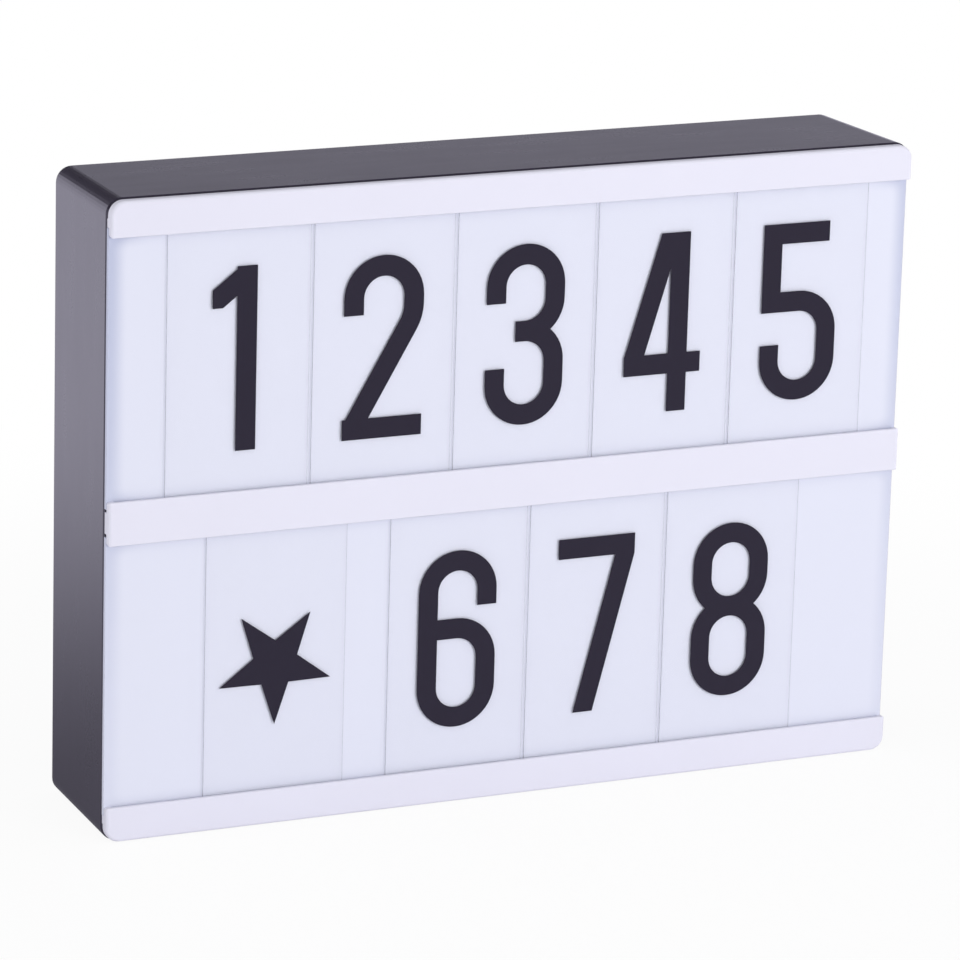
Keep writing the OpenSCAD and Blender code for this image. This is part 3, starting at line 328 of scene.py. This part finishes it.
def joined(strokes):
    """One closed mesh from overlapping stroke plates."""
    same_place = 0.001 * MM
    first = strokes[0]
    for other in strokes[1:]:
        join = first.modifiers.new("join", "BOOLEAN")
        join.operation, join.solver, join.object = "UNION", "EXACT", other
    graph = bpy.context.evaluated_depsgraph_get()
    bm = bmesh.new()
    bm.from_mesh(first.evaluated_get(graph).to_mesh())
    for stroke in strokes:
        bpy.data.objects.remove(stroke)
    bmesh.ops.remove_doubles(bm, verts=bm.verts, dist=same_place)
    return bm


def digit_strokes(digit, style):
    """The pens of one plain condensed digit, which stands on z = 0 about x = 0."""
    width, height, pen = style.glyph_width, style.glyph_height, style.pen_width
    bowl = (width - pen) / 2
    edge, half = width / 2, pen / 2
    top, low = height - half, half
    waist = height * style.waist
    shoulder = height * 0.56
    hook = height * 0.09

    def ink(x, z, heading):
        return Pen((x, z), heading, pen)

    def bar(z, left=-edge, right=edge):
        return ink(left, z, 0).go(right - left)

    def post(x, foot=0.0, head=height):
        return ink(x, foot, 90).go(head - foot)

    def slant(foot_x, head_x, foot=0.0, head=height):
        """A sloping stroke between two heights, drawn past both and cut level there."""
        past = 0.2
        rise, run = head - foot, head_x - foot_x
        lean = math.degrees(math.atan2(rise, run))
        start = (foot_x - run * past, foot - rise * past)
        stroke = ink(*start, lean).go(math.hypot(rise, run) * (1 + 2 * past))
        return stroke.trim(z=foot).trim(z=head, keep=-1)

    if digit == 1:
        stem = edge * 0.2
        flag_foot, flag_reach = height * 0.78, edge * 0.85
        flag = slant(stem - edge, stem + half, flag_foot, height)
        return [post(stem), flag.trim(x=stem, keep=-1).trim(x=stem - flag_reach)]
    if digit == 2:
        lean = 30
        curve = ink(-bowl, top - bowl - hook, 90).go(hook).turn(-180, bowl).go(hook / 2)
        curve.turn(-lean, width / 2).go(height)
        return [curve.trim(z=0).trim(x=-edge), bar(low)]
    if digit == 3:
        upper = ink(-bowl, top - bowl - hook, 90).go(hook).turn(-180, bowl)
        upper.go(top - waist - 2 * bowl).turn(-90, bowl).go(half)
        lower = ink(-half, waist, 0).go(half).turn(-90, bowl)
        lower.go(waist - low - 2 * bowl).turn(-180, bowl).go(hook)
        return [upper, lower]
    if digit == 4:
        cross = height * 0.27
        stem = edge * 0.4
        side = slant(-bowl - half / 2, stem - half, cross - half, height)
        return [post(stem), bar(cross), side.trim(x=-edge).trim(x=stem, keep=-1)]
    if digit == 5:
        bowl_stroke = ink(-edge, shoulder, 0).go(edge).turn(-90, bowl)
        bowl_stroke.go(shoulder - low - 2 * bowl).turn(-180, bowl).go(hook)
        return [bar(top, right=edge - half), post(-bowl, shoulder - half), bowl_stroke]
    if digit == 6:
        curl = ink(bowl, top - bowl - hook, 90).go(hook).turn(180, bowl)
        curl.go(top - low - 2 * bowl).turn(180, bowl).go(shoulder - low - 2 * bowl)
        ring = ink(bowl, shoulder - bowl, 90).turn(90, bowl).go(bowl)
        return [curl, ring]
    if digit == 7:
        foot, elbow = -edge * 0.25, edge - half * 1.03
        run_on = (elbow - foot) * half / (height - pen)
        return [bar(top), slant(foot, elbow + run_on, head=top).trim(x=edge, keep=-1)]
    if digit == 8:
        loops = []
        for foot, head in ((waist, top), (low, waist)):
            side = head - foot - 2 * bowl
            loop = ink(-bowl, foot + bowl, 90).go(side).turn(-180, bowl)
            loops.append(loop.go(side).turn(-180, bowl))
        return loops
    raise ValueError(f"no strokes for the digit {digit}")


# ---- Settings ----

def colour(name, text, default):
    """A colour setting, written as it looks on a screen and kept in the renderer's linear values."""
    linear = [
        part / 12.92 if part <= 0.04045 else ((part + 0.055) / 1.055) ** 2.4
        for part in (value / 255 for value in default)
    ]
    return bpy.props.FloatVectorProperty(
        name=name, description=text, subtype="COLOR", size=3, min=0, max=1, default=linear
    )


def length(name, text, default_mm):
    """A length setting, given in millimetres and kept in metres."""
    return bpy.props.FloatProperty(name=name, description=text, unit="LENGTH", default=default_mm * MM)


class LightBoxFinishes(bpy.types.PropertyGroup):
    """Colours of the box's finishes, with the painted shade on the sheet's margin and on the cards' left cut
    edges.
    """

    case: colour("Case", "Black moulded case, frame and door", (56, 51, 66))
    rail: colour("Rails", "White rails", (231, 230, 243))
    sheet: colour("Opal sheet", "Sheet where nothing lies behind it", (227, 229, 243))
    # painted shade: the sheet's margin colour, standing in for the dark frame behind dimming the light
    # through the sheet
    margin: colour("Sheet margin", "Sheet where the dark frame shows through", (186, 192, 217))
    film: colour("Card film", "Clear cards", (238, 238, 242))
    # grey of the cut edges, shown more strongly on the left cut edges as painted shade
    film_edge_and_shade: colour("Card edge", "Cut edges of the cards", (135, 135, 153))
    ink: colour("Ink", "Digits and star", (36, 31, 46))
    mark: colour("Switch marks", "Marks beside the switch", (176, 174, 186))
    metal: colour("Plated metal", "Contacts, springs and screws", (196, 198, 204))
    sleeve: colour("Cell sleeve", "Body of the cells", (52, 88, 138))
    cap: colour("Cell cap band", "Band at the cells' nub end", (190, 150, 96))
    board: colour("Boards", "Solder resist", (34, 92, 58))
    lens: colour("LED lens", "Phosphor of the LEDs", (238, 218, 140))


class LightBoxPrint(bpy.types.PropertyGroup):
    """Sizes of the prints on the cards and beside the switch."""

    glyph_height: length("Digit height", "Height of a digit", 46.8)
    glyph_width: length("Digit width", "Width of a digit", 21.5)
    pen_width: length("Stroke", "Width of a digit's strokes", 5.3)
    waist: bpy.props.FloatProperty(
        name="Waist",
        description="Height of the 3's and the 8's waist as a share of the digit",
        subtype="FACTOR", min=0, max=1, default=0.52,
    )
    upper_rise: length("Upper row rise", "From an upper card's lower edge to its digit's foot", 12.4)
    lower_rise: length("Lower row rise", "From a lower card's lower edge to its digit's foot", 13.0)
    star_radius: length("Star radius", "From the star's middle to its tips", 15.8)
    star_waist: length("Star waist", "From the star's middle to its inner corners", 6.2)
    star_rise: length("Star rise", "From its card's lower edge to the star's middle", 35.0)
    ink_depth: length("Ink depth", "Thickness of a print", 0.08)
    mark_size: length("Switch mark", "Height of the marks beside the switch", 2.6)
    mark_line: length("Switch mark line", "Width of the marks' lines", 0.45)
    mark_gap: length("Switch mark gap", "From the switch's recess to its marks", 1.2)
    mark_depth: length("Switch mark depth", "Thickness of the marks' print", 0.03)


class LightBoxStage(bpy.types.PropertyGroup):
    """Lamps, floor and camera."""

    ambient: bpy.props.FloatProperty(name="Ambient", description="Strength of the room's light", default=0.64)
    ceiling: bpy.props.FloatProperty(
        name="Grey ceiling",
        description="How much darker the surround is overhead, in a gloss",
        subtype="FACTOR", min=0, max=1, default=0.97,
    )
    # painted shade in the floor's glow, which a gloss finds beside the box's left side
    floor_gloss_shade: bpy.props.FloatProperty(
        name="Dark floor",
        description="How much darker the floor is behind the box's left side, in a gloss",
        subtype="FACTOR", min=0, max=1, default=0.8,
    )
    key: bpy.props.FloatProperty(
        name="Key", description="Power of the lamp before the front", unit="POWER", default=12.0
    )
    fill: bpy.props.FloatProperty(
        name="Fill", description="Power of the lamp on the left", unit="POWER", default=6.0
    )
    gloss: colour("Gloss tint", "Colour of what a gloss finds around the box", (239, 236, 255))
    azimuth: bpy.props.FloatProperty(
        name="Azimuth", description="Camera's way round the box", subtype="ANGLE",
        default=math.radians(-24.7674),
    )
    elevation: bpy.props.FloatProperty(
        name="Elevation", description="Camera's height angle", subtype="ANGLE",
        default=math.radians(15.7189),
    )
    roll: bpy.props.FloatProperty(
        name="Roll", description="Camera's tilt to the side", subtype="ANGLE",
        default=math.radians(1.6269),
    )
    distance: length("Distance", "From the camera to the box's middle", 1391.41)
    slide_right: length("Slide right", "Camera's step to its right", 0.367)
    slide_up: length("Slide up", "Camera's step upwards", -3.611)
    lens: bpy.props.FloatProperty(
        name="Lens", description="Focal length on a 36 mm sensor", unit="CAMERA", default=203.55
    )


# ---- Operators ----

class LIGHTBOX_OT_case(bpy.types.Operator):
    """Finish the case, the battery door, the frame, the knob and the socket in grained black plastic."""

    bl_idname = "lightbox.case"
    bl_label = "Case"

    def execute(self, context):
        looks = context.scene.light_box_finishes
        finish = Finish("case_black", Coat_Weight=0.45, Coat_Roughness=0.2)
        vector = finish.here()
        grain = finish.noise(vector, size=0.28 * MM, detail=3)
        patch = finish.noise(vector, size=26 * MM, detail=2)
        streak = finish.noise(finish.stretch(vector, (0.15, 1, 0.15)), size=5 * MM, detail=2)
        dust = finish.noise(vector, size=0.9 * MM, detail=1).over(edge=0.76, soft=0.04)
        base = finish.tint(patch, shade(looks.case, 0.9), shade(looks.case, 1.1))
        finish.set(
            Base_Color=finish.tint(dust * 0.15, base, shade(looks.case, 5)),
            Roughness=0.20 + grain * 0.05 + patch * 0.07 + streak * 0.06,
            Normal=finish.relief(grain, depth=0.015 * MM, strength=0.5),
        )
        names = ("back_housing", "front_frame", "battery_door", "switch_knob", "board_parts", "power_socket")
        dress(names, finish.material)
        return {"FINISHED"}


class LIGHTBOX_OT_rails(bpy.types.Operator):
    """Finish the three rails in satin white plastic with faint drawn lines along them."""

    bl_idname = "lightbox.rails"
    bl_label = "Rails"

    def execute(self, context):
        looks = context.scene.light_box_finishes
        finish = Finish("rail_white", Specular_IOR_Level=0.35)
        vector = finish.here()
        lines = finish.noise(finish.stretch(vector, (0.02, 1, 1)), size=0.5 * MM, detail=2)
        patch = finish.noise(vector, size=30 * MM, detail=2)
        finish.set(
            Base_Color=finish.tint(patch, shade(looks.rail, 0.985), shade(looks.rail, 1.01)),
            Roughness=0.34 + lines * 0.10,
            Normal=finish.relief(lines, depth=0.01 * MM, strength=0.5),
        )
        dress(RAILS, finish.material)
        return {"FINISHED"}


class LIGHTBOX_OT_sheet(bpy.types.Operator):
    """Finish the opal sheet with painted shade: darker outside the frame's window, in bands along the rails
    and at the sides, most at the upper left.
    """

    bl_idname = "lightbox.sheet"
    bl_label = "Opal sheet"

    def execute(self, context):
        looks = context.scene.light_box_finishes
        finish = Finish("opal_sheet", Specular_IOR_Level=0.4)
        vector = finish.here()
        x, _, z = finish.axes(vector)
        _, frame_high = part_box("front_frame")
        middle_low, middle_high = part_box("middle_rail")
        top_low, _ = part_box("top_rail")
        _, low_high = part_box("bottom_rail")
        half_x = frame_high.x - 2.0 * MM
        shade_w, soft, side_w = 0.9 * MM, 4.6 * MM, 8 * MM
        # shares of painted shade: everywhere outside the frame's window, more at the sides, and more again on
        # the left
        bar_shade, side_shade, left_extra_shade = 0.2, 0.53, 0.12
        cloud = finish.noise(vector, size=40 * MM, detail=2)
        ripple = finish.noise(vector, size=3 * MM, detail=1)
        upper = self.outside(finish, x, z, half_x, middle_high.z + shade_w, top_low.z - shade_w)
        lower = self.outside(finish, x, z, half_x, low_high.z + shade_w, middle_low.z - shade_w)
        painted_bar_shade = upper.combine("MINIMUM", upper, lower).over(edge=0, soft=soft)
        side = abs(x).over(edge=half_x - side_w / 2, soft=side_w)
        high_up = z.over(edge=top_low.z / 2, soft=top_low.z)
        left = 1 - x.over(edge=0, soft=20 * MM)
        # painted shade that grows up the sides and is strongest on the left side high up
        depth = bar_shade + side * high_up * (side_shade + left_extra_shade * left)
        clear = finish.tint(cloud, shade(looks.sheet, 0.99), shade(looks.sheet, 1.01))
        # the base colour blends towards the margin's painted shade outside the frame's window
        finish.set(
            Base_Color=finish.tint(painted_bar_shade * depth, clear, tuple(looks.margin)),
            Roughness=0.30 + cloud * 0.06,
            Normal=finish.relief(ripple, depth=0.01 * MM, strength=0.3),
        )
        dress(["diffuser_panel"], finish.material)
        return {"FINISHED"}

    def outside(self, finish, x, z, half_x, low_z, high_z, corner=3 * MM):
        """How far a place lies outside the frame's window with round corners between two heights."""
        half_z = (high_z - low_z) / 2
        past_x = (abs(x) - (half_x - corner)).most(0)
        past_z = (abs(z - (low_z + high_z) / 2) - (half_z - corner)).most(0)
        return past_x.combine("SQRT", past_x * past_x + past_z * past_z) - corner


class LIGHTBOX_OT_cards(bpy.types.Operator):
    """Finish the cards in clear film whose cut edges show as thin grey lines, the left ones darker as painted
    shade.
    """

    bl_idname = "lightbox.cards"
    bl_label = "Cards"

    def execute(self, context):
        looks = context.scene.light_box_finishes
        # opacity of the film, of its cut edges, and the extra on the left cut edges, which is painted shade
        film_alpha, cut_alpha, left_edge_shade = 0.025, 0.25, 0.35
        for card in CARDS:
            low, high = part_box(card)
            finish = Finish("card_film_" + card.removeprefix("card_"), Specular_IOR_Level=0.5)
            vector = finish.here()
            x, _, _ = finish.axes(vector)
            _, facing, _ = finish.axes(finish.add("ShaderNodeTexCoord", out="Normal"))
            cut_edge = 1 - abs(facing).over(edge=0.5, soft=0.2)
            left_half = 1 - x.over(edge=(low.x + high.x) / 2, soft=1 * MM)
            smear = finish.noise(finish.stretch(vector, (1, 1, 0.4)), size=9 * MM, detail=3)
            finish.set(
                Base_Color=finish.tint(cut_edge, tuple(looks.film), tuple(looks.film_edge_and_shade)),
                # cut edges in the card's left half are more opaque: painted shade
                Alpha=film_alpha + cut_edge * (cut_alpha + left_edge_shade * left_half),
                Roughness=0.16 + smear * 0.10,
            )
            dress([card], finish.material)
        return {"FINISHED"}


class LIGHTBOX_OT_prints(bpy.types.Operator):
    """Print a plain digit on each card, and a star on the lower row's first card."""

    bl_idname = "lightbox.prints"
    bl_label = "Prints"

    def execute(self, context):
        style = context.scene.light_box_print
        looks = context.scene.light_box_finishes
        finish = Finish("print_ink", Specular_IOR_Level=0.25)
        vector = finish.here()
        cover = finish.noise(vector, size=2.5 * MM, detail=3)
        grain = finish.noise(vector, size=0.4 * MM, detail=2)
        ink = finish.set(
            Base_Color=finish.tint(cover, shade(looks.ink, 0.94), shade(looks.ink, 1.06)),
            Roughness=0.42 + cover * 0.10,
            Normal=finish.relief(grain, depth=0.004 * MM, strength=0.4),
        )
        digit = 0
        for card in sorted(CARDS, key=lambda name: ("top" not in name, name)):
            low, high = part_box(card)
            middle = Vector(((low.x + high.x) / 2, low.y, low.z))
            if card == "card_bottom_1":
                bm = self.star(style, middle + Vector((0, 0, style.star_rise)))
            else:
                digit += 1
                rise = style.upper_rise if "top" in card else style.lower_rise
                foot = middle + Vector((0, 0, rise))
                strokes = digit_strokes(digit, style)
                bm = joined([pen.plate(style.ink_depth, foot) for pen in strokes])
            new_piece("print_" + card.removeprefix("card_"), bm, ink, card)
        return {"FINISHED"}

    def star(self, style, place):
        """A five-pointed star with one tip straight down."""
        bm = bmesh.new()
        upright = Matrix.Rotation(math.pi / 2, 4, "X")
        ring = bmesh.ops.create_circle(
            bm, cap_ends=True, segments=10, radius=style.star_radius, matrix=upright
        )
        lowest = min(ring["verts"], key=lambda v: v.co.z)
        start = ring["verts"].index(lowest)
        inner = [v for i, v in enumerate(ring["verts"]) if (i - start) % 2]
        bmesh.ops.scale(bm, verts=inner, vec=(style.star_waist / style.star_radius,) * 3)
        bm.normal_update()
        thicken(bm, style.ink_depth)
        bmesh.ops.translate(bm, verts=bm.verts, vec=place)
        return bm


class LIGHTBOX_OT_marks(bpy.types.Operator):
    """Print the off ring and the on bar beside the switch's recess."""

    bl_idname = "lightbox.marks"
    bl_label = "Switch marks"

    def execute(self, context):
        looks = context.scene.light_box_finishes
        style = context.scene.light_box_print
        finish = Finish("mark_print", Specular_IOR_Level=0.3)
        vector = finish.here()
        cover = finish.noise(vector, size=0.6 * MM, detail=3)
        finish.set(
            Base_Color=finish.tint(cover, shade(looks.mark, 0.88), shade(looks.mark, 1.06)),
            Roughness=0.45 + cover * 0.10,
        )
        recess_low, recess_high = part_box("switch_body")
        middle = (recess_low + recess_high) / 2
        reach = (recess_high.x - recess_low.x) / 2 + style.mark_gap + style.mark_size / 2
        size, line = style.mark_size, style.mark_line
        off_ring = Pen((middle.x - reach - size / 2, middle.z), -90, line)
        off_ring.turn(180, size / 2).turn(180, size / 2)
        on_bar = Pen((middle.x + reach, middle.z - size / 2), 90, line).go(size)
        for name, pen in (("mark_off", off_ring), ("mark_on", on_bar)):
            bmesh.ops.remove_doubles(pen.bm, verts=pen.bm.verts, dist=Pen.MERGE)
            thicken(pen.bm, -style.mark_depth)
            bmesh.ops.translate(pen.bm, verts=pen.bm.verts, vec=(0, CAD_HIGH.y, 0))
            new_piece(name, pen.bm, finish.material, "case")
        return {"FINISHED"}


class LIGHTBOX_OT_cells(bpy.types.Operator):
    """Finish the cells with a sleeve, a band and a plus mark at the nub end."""

    bl_idname = "lightbox.cells"
    bl_label = "Cells"

    def execute(self, context):
        looks = context.scene.light_box_finishes
        nub_reach, band_start, plus_place = 1.6 * MM, 36 * MM, 41 * MM
        plus_arm, plus_line, crisp = 1.8 * MM, 0.35 * MM, 0.1 * MM
        for name in CELLS:
            low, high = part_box(name)
            nub_right = CELLS.index(name) % 2 == 0
            finish = Finish("cell_sleeve_" + name[-1], Specular_IOR_Level=0.5)
            vector = finish.here()
            x, _, z = finish.axes(vector)
            along = x - low.x if nub_right else high.x - x
            across = abs(z - (low.z + high.z) / 2)
            nub = along.over(edge=high.x - low.x - nub_reach, soft=crisp)
            band = along.over(edge=band_start, soft=crisp)
            near = abs(along - plus_place)
            plus_long = (1 - near.over(plus_arm, crisp)) * (1 - across.over(plus_line, crisp))
            plus_tall = (1 - near.over(plus_line, crisp)) * (1 - across.over(plus_arm, crisp))
            plus = plus_long.most(plus_tall)
            scuff = finish.noise(vector, size=5 * MM, detail=3)
            sleeve = finish.tint(scuff, shade(looks.sleeve, 0.92), shade(looks.sleeve, 1.08))
            printed = finish.tint(band, sleeve, tuple(looks.cap))
            marked = finish.tint(plus, printed, shade(looks.sleeve, 0.3))
            finish.set(
                Base_Color=finish.tint(nub, marked, tuple(looks.metal)),
                Metallic=nub,
                Roughness=0.26 + scuff * 0.12,
            )
            dress([name], finish.material)
        return {"FINISHED"}


class LIGHTBOX_OT_metal(bpy.types.Operator):
    """Finish the contacts, springs, switch frame and screws in plated metal."""

    bl_idname = "lightbox.metal"
    bl_label = "Metal"

    def execute(self, context):
        looks = context.scene.light_box_finishes
        finish = Finish("plated_metal", Metallic=1.0)
        vector = finish.here()
        scratch = finish.noise(finish.stretch(vector, (1, 1, 0.1)), size=0.3 * MM, detail=2)
        stain = finish.noise(vector, size=3 * MM, detail=2)
        finish.set(
            Base_Color=finish.tint(stain, shade(looks.metal, 0.9), shade(looks.metal, 1.05)),
            Roughness=0.24 + scratch * 0.18,
            Normal=finish.relief(scratch, depth=0.005 * MM, strength=0.5),
        )
        names = ("contact_negative", "contact_positive", "bridge_left", "bridge_right", "contact_springs",
                 "switch_body", "case_screws", "board_screws")
        dress(names, finish.material)
        return {"FINISHED"}


class LIGHTBOX_OT_electronics(bpy.types.Operator):
    """Finish the boards, LEDs, resistors, reflector and leads."""

    bl_idname = "lightbox.electronics"
    bl_label = "Electronics"

    def execute(self, context):
        looks = context.scene.light_box_finishes
        kinds = (
            ("board_green", looks.board, 0.35, 1.2, ("control_board", "led_board_top", "led_board_bottom")),
            ("led_lens", looks.lens, 0.20, 0.8, ("leds_top", "leds_bottom")),
            ("resistor_black", looks.case, 0.50, 0.4, ("led_resistors",)),
            ("reflector_white", looks.rail, 0.60, 6.0, ("reflector_sheet",)),
            ("lead_sleeve", looks.case, 0.45, 1.0, ("battery_leads", "led_leads")),
        )
        for title, paint, roughness, size, names in kinds:
            finish = Finish(title)
            vector = finish.here()
            mottle = finish.noise(vector, size=size * MM, detail=2)
            finish.set(
                Base_Color=finish.tint(mottle, shade(paint, 0.93), shade(paint, 1.07)),
                Roughness=roughness + mottle * 0.1,
                Normal=finish.relief(mottle, depth=0.01 * MM, strength=0.3),
            )
            dress(names, finish.material)
        return {"FINISHED"}


class LIGHTBOX_OT_stage(bpy.types.Operator):
    """Set the pale floor, the soft lamps, the white surround and the camera."""

    bl_idname = "lightbox.stage"
    bl_label = "Stage"

    FLOOR_RADIUS = 6
    FLOOR_DROP = 0.05 * MM
    FLOOR_COLOUR = (0.94, 0.94, 0.95)
    ROOM_COLOUR = (0.98, 0.98, 1)
    KEY_PLACE, KEY_SIZE = (0.6, -1.5, 0.35), 1.0
    FILL_PLACE, FILL_SIZE = (-1.9, 0.35, 0.35), 0.8
    SENSOR_WIDTH = 36
    CLIP_START, CLIP_END = 0.05, 50

    def execute(self, context):
        stage = context.scene.light_box_stage
        context.scene.view_settings.view_transform = "Standard"
        self.floor(stage)
        self.surround(context, stage)
        aim = Vector((0, 0, (CAD_LOW.z + CAD_HIGH.z) / 2))
        self.lamp("key_lamp", self.KEY_PLACE, aim, self.KEY_SIZE, stage.key)
        self.lamp("fill_lamp", self.FILL_PLACE, aim, self.FILL_SIZE, stage.fill)
        self.camera(context, stage)
        return {"FINISHED"}

    def floor(self, stage):
        """A pale floor that turns pure white away from the box, and keeps the box's shadow near it. To a
        gloss it glows in the gloss tint, with painted shade beside the box's left side.
        """
        bm = bmesh.new()
        bmesh.ops.create_circle(bm, cap_ends=True, segments=96, radius=self.FLOOR_RADIUS)
        bmesh.ops.translate(bm, verts=bm.verts, vec=(0, 0, CAD_LOW.z - self.FLOOR_DROP))
        mesh = bpy.data.meshes.new("floor")
        bm.to_mesh(mesh)
        bm.free()
        floor = bpy.data.objects.new("floor", mesh)
        bpy.context.scene.collection.objects.link(floor)
        finish = Finish(
            "floor_white", Base_Color=self.FLOOR_COLOUR, Roughness=0.9, Specular_IOR_Level=0.0
        )
        vector = finish.here()
        _, y, _ = finish.axes(vector)
        reach = finish.distance(vector, (0, 0, 0))
        side_reach = finish.distance(vector, (CAD_LOW.x, 0, 0))
        beside = 1 - side_reach.over(edge=206 * MM, soft=380 * MM)
        # painted shade on the floor's glow, seen only in a gloss, beside the box's left side from its front
        # backwards
        painted_gloss_shade = beside * y.over(edge=-30 * MM, soft=40 * MM)
        gloss = finish.any_ray("Glossy")
        near_glow = 0.93
        glow_share = near_glow + (1 - near_glow) * reach.over(edge=260 * MM, soft=200 * MM)
        white = (finish.any_ray("Camera", "Transmission") * glow_share).most(gloss)
        shaded_gloss_colour = shade(stage.gloss, 1 - stage.floor_gloss_shade)
        in_gloss = finish.tint(painted_gloss_shade, tuple(stage.gloss), shaded_gloss_colour)
        seen = finish.tint(gloss, (1, 1, 1), in_gloss)
        glow = finish.add("ShaderNodeEmission", None, {"Color": seen})
        shaded = Wire(finish, finish.shader.outputs[0])
        finish.surface(finish.add("ShaderNodeMixShader", None, {0: white, 1: shaded, 2: glow}))
        mesh.materials.append(finish.material)

    def surround(self, context, stage):
        """Even light; white to the eye and, low down, to a gloss, which finds a dark ceiling overhead."""
        around = Surround("surround")
        _, _, height = around.axes(around.add("ShaderNodeTexCoord", out="Generated"))
        ceiling = 1 - stage.ceiling * height.over(edge=0.175, soft=0.14)
        eye = around.any_ray("Camera", "Transmission")
        seen = eye.most(around.any_ray("Glossy") * ceiling)
        even = around.add(
            "ShaderNodeBackground", None, {"Color": self.ROOM_COLOUR, "Strength": stage.ambient}
        )
        tinted = around.add(
            "ShaderNodeMix", {"data_type": "RGBA"}, {"Factor": eye, 6: tuple(stage.gloss), 7: (1, 1, 1)}, 2
        )
        white = around.add("ShaderNodeBackground", None, {"Color": tinted, "Strength": seen})
        shown = around.any_ray("Camera", "Transmission", "Glossy")
        around.surface(around.add("ShaderNodeMixShader", None, {0: shown, 1: even, 2: white}))
        context.scene.world = around.world

    def lamp(self, name, place, aim, size, power):
        """A soft round lamp that lights the box and leaves no bright spot in its gloss."""
        data = bpy.data.lights.new(name, "AREA")
        data.shape, data.size, data.energy = "DISK", size, power
        lamp = bpy.data.objects.new(name, data)
        bpy.context.scene.collection.objects.link(lamp)
        lamp.visible_glossy = False
        lamp.location = place
        lamp.rotation_euler = (aim - Vector(place)).to_track_quat("-Z", "Y").to_euler()

    def camera(self, context, stage):
        """The photograph's view: round the box, raised, a little rolled, and centred on the case's middle."""
        case_low, case_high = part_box("back_housing")
        target = (case_low + case_high) / 2
        level = math.cos(stage.elevation)
        back = Vector((
            math.sin(stage.azimuth) * level, -math.cos(stage.azimuth) * level, math.sin(stage.elevation)
        ))
        right = (-back).cross(Vector((0, 0, 1))).normalized()
        up = right.cross(-back)
        place = target + back * stage.distance + right * stage.slide_right + up * stage.slide_up
        rolled_right = right * math.cos(stage.roll) + up * math.sin(stage.roll)
        rolled_up = up * math.cos(stage.roll) - right * math.sin(stage.roll)
        data = bpy.data.cameras.new("camera")
        data.sensor_width = self.SENSOR_WIDTH
        data.lens = stage.lens
        data.clip_start, data.clip_end = self.CLIP_START, self.CLIP_END
        camera = bpy.data.objects.new("camera", data)
        context.scene.collection.objects.link(camera)
        turn = Matrix((rolled_right, rolled_up, back)).transposed()
        camera.matrix_world = Matrix.Translation(place) @ turn.to_4x4()
        context.scene.camera = camera


STEPS = (
    LIGHTBOX_OT_case, LIGHTBOX_OT_rails, LIGHTBOX_OT_sheet, LIGHTBOX_OT_cards, LIGHTBOX_OT_prints,
    LIGHTBOX_OT_marks, LIGHTBOX_OT_cells, LIGHTBOX_OT_metal, LIGHTBOX_OT_electronics, LIGHTBOX_OT_stage,
)


class LIGHTBOX_PT_sidebar(bpy.types.Panel):
    """Lists the light box's steps and settings in the 3D view's sidebar."""

    bl_idname = "LIGHTBOX_PT_sidebar"
    bl_label = "Light Box"
    bl_space_type = "VIEW_3D"
    bl_region_type = "UI"
    bl_category = "Light Box"

    def draw(self, context):
        for step in STEPS:
            self.layout.operator(step.bl_idname)
        for group in (
            context.scene.light_box_finishes, context.scene.light_box_print, context.scene.light_box_stage
        ):
            column = self.layout.column()
            for key in group.__annotations__:
                column.prop(group, key)


GROUPS = (LightBoxFinishes, LightBoxPrint, LightBoxStage)


def register():
    for item in (*GROUPS, *STEPS, LIGHTBOX_PT_sidebar):
        bpy.utils.register_class(item)
    bpy.types.Scene.light_box_finishes = bpy.props.PointerProperty(type=LightBoxFinishes)
    bpy.types.Scene.light_box_print = bpy.props.PointerProperty(type=LightBoxPrint)
    bpy.types.Scene.light_box_stage = bpy.props.PointerProperty(type=LightBoxStage)


def unregister():
    del bpy.types.Scene.light_box_stage
    del bpy.types.Scene.light_box_print
    del bpy.types.Scene.light_box_finishes
    for item in (LIGHTBOX_PT_sidebar, *reversed(STEPS), *reversed(GROUPS)):
        bpy.utils.unregister_class(item)


def main():
    register()
    for step in STEPS:
        area, name = step.bl_idname.split(".")
        getattr(getattr(bpy.ops, area), name)()


if __name__ == "__main__":
    main()
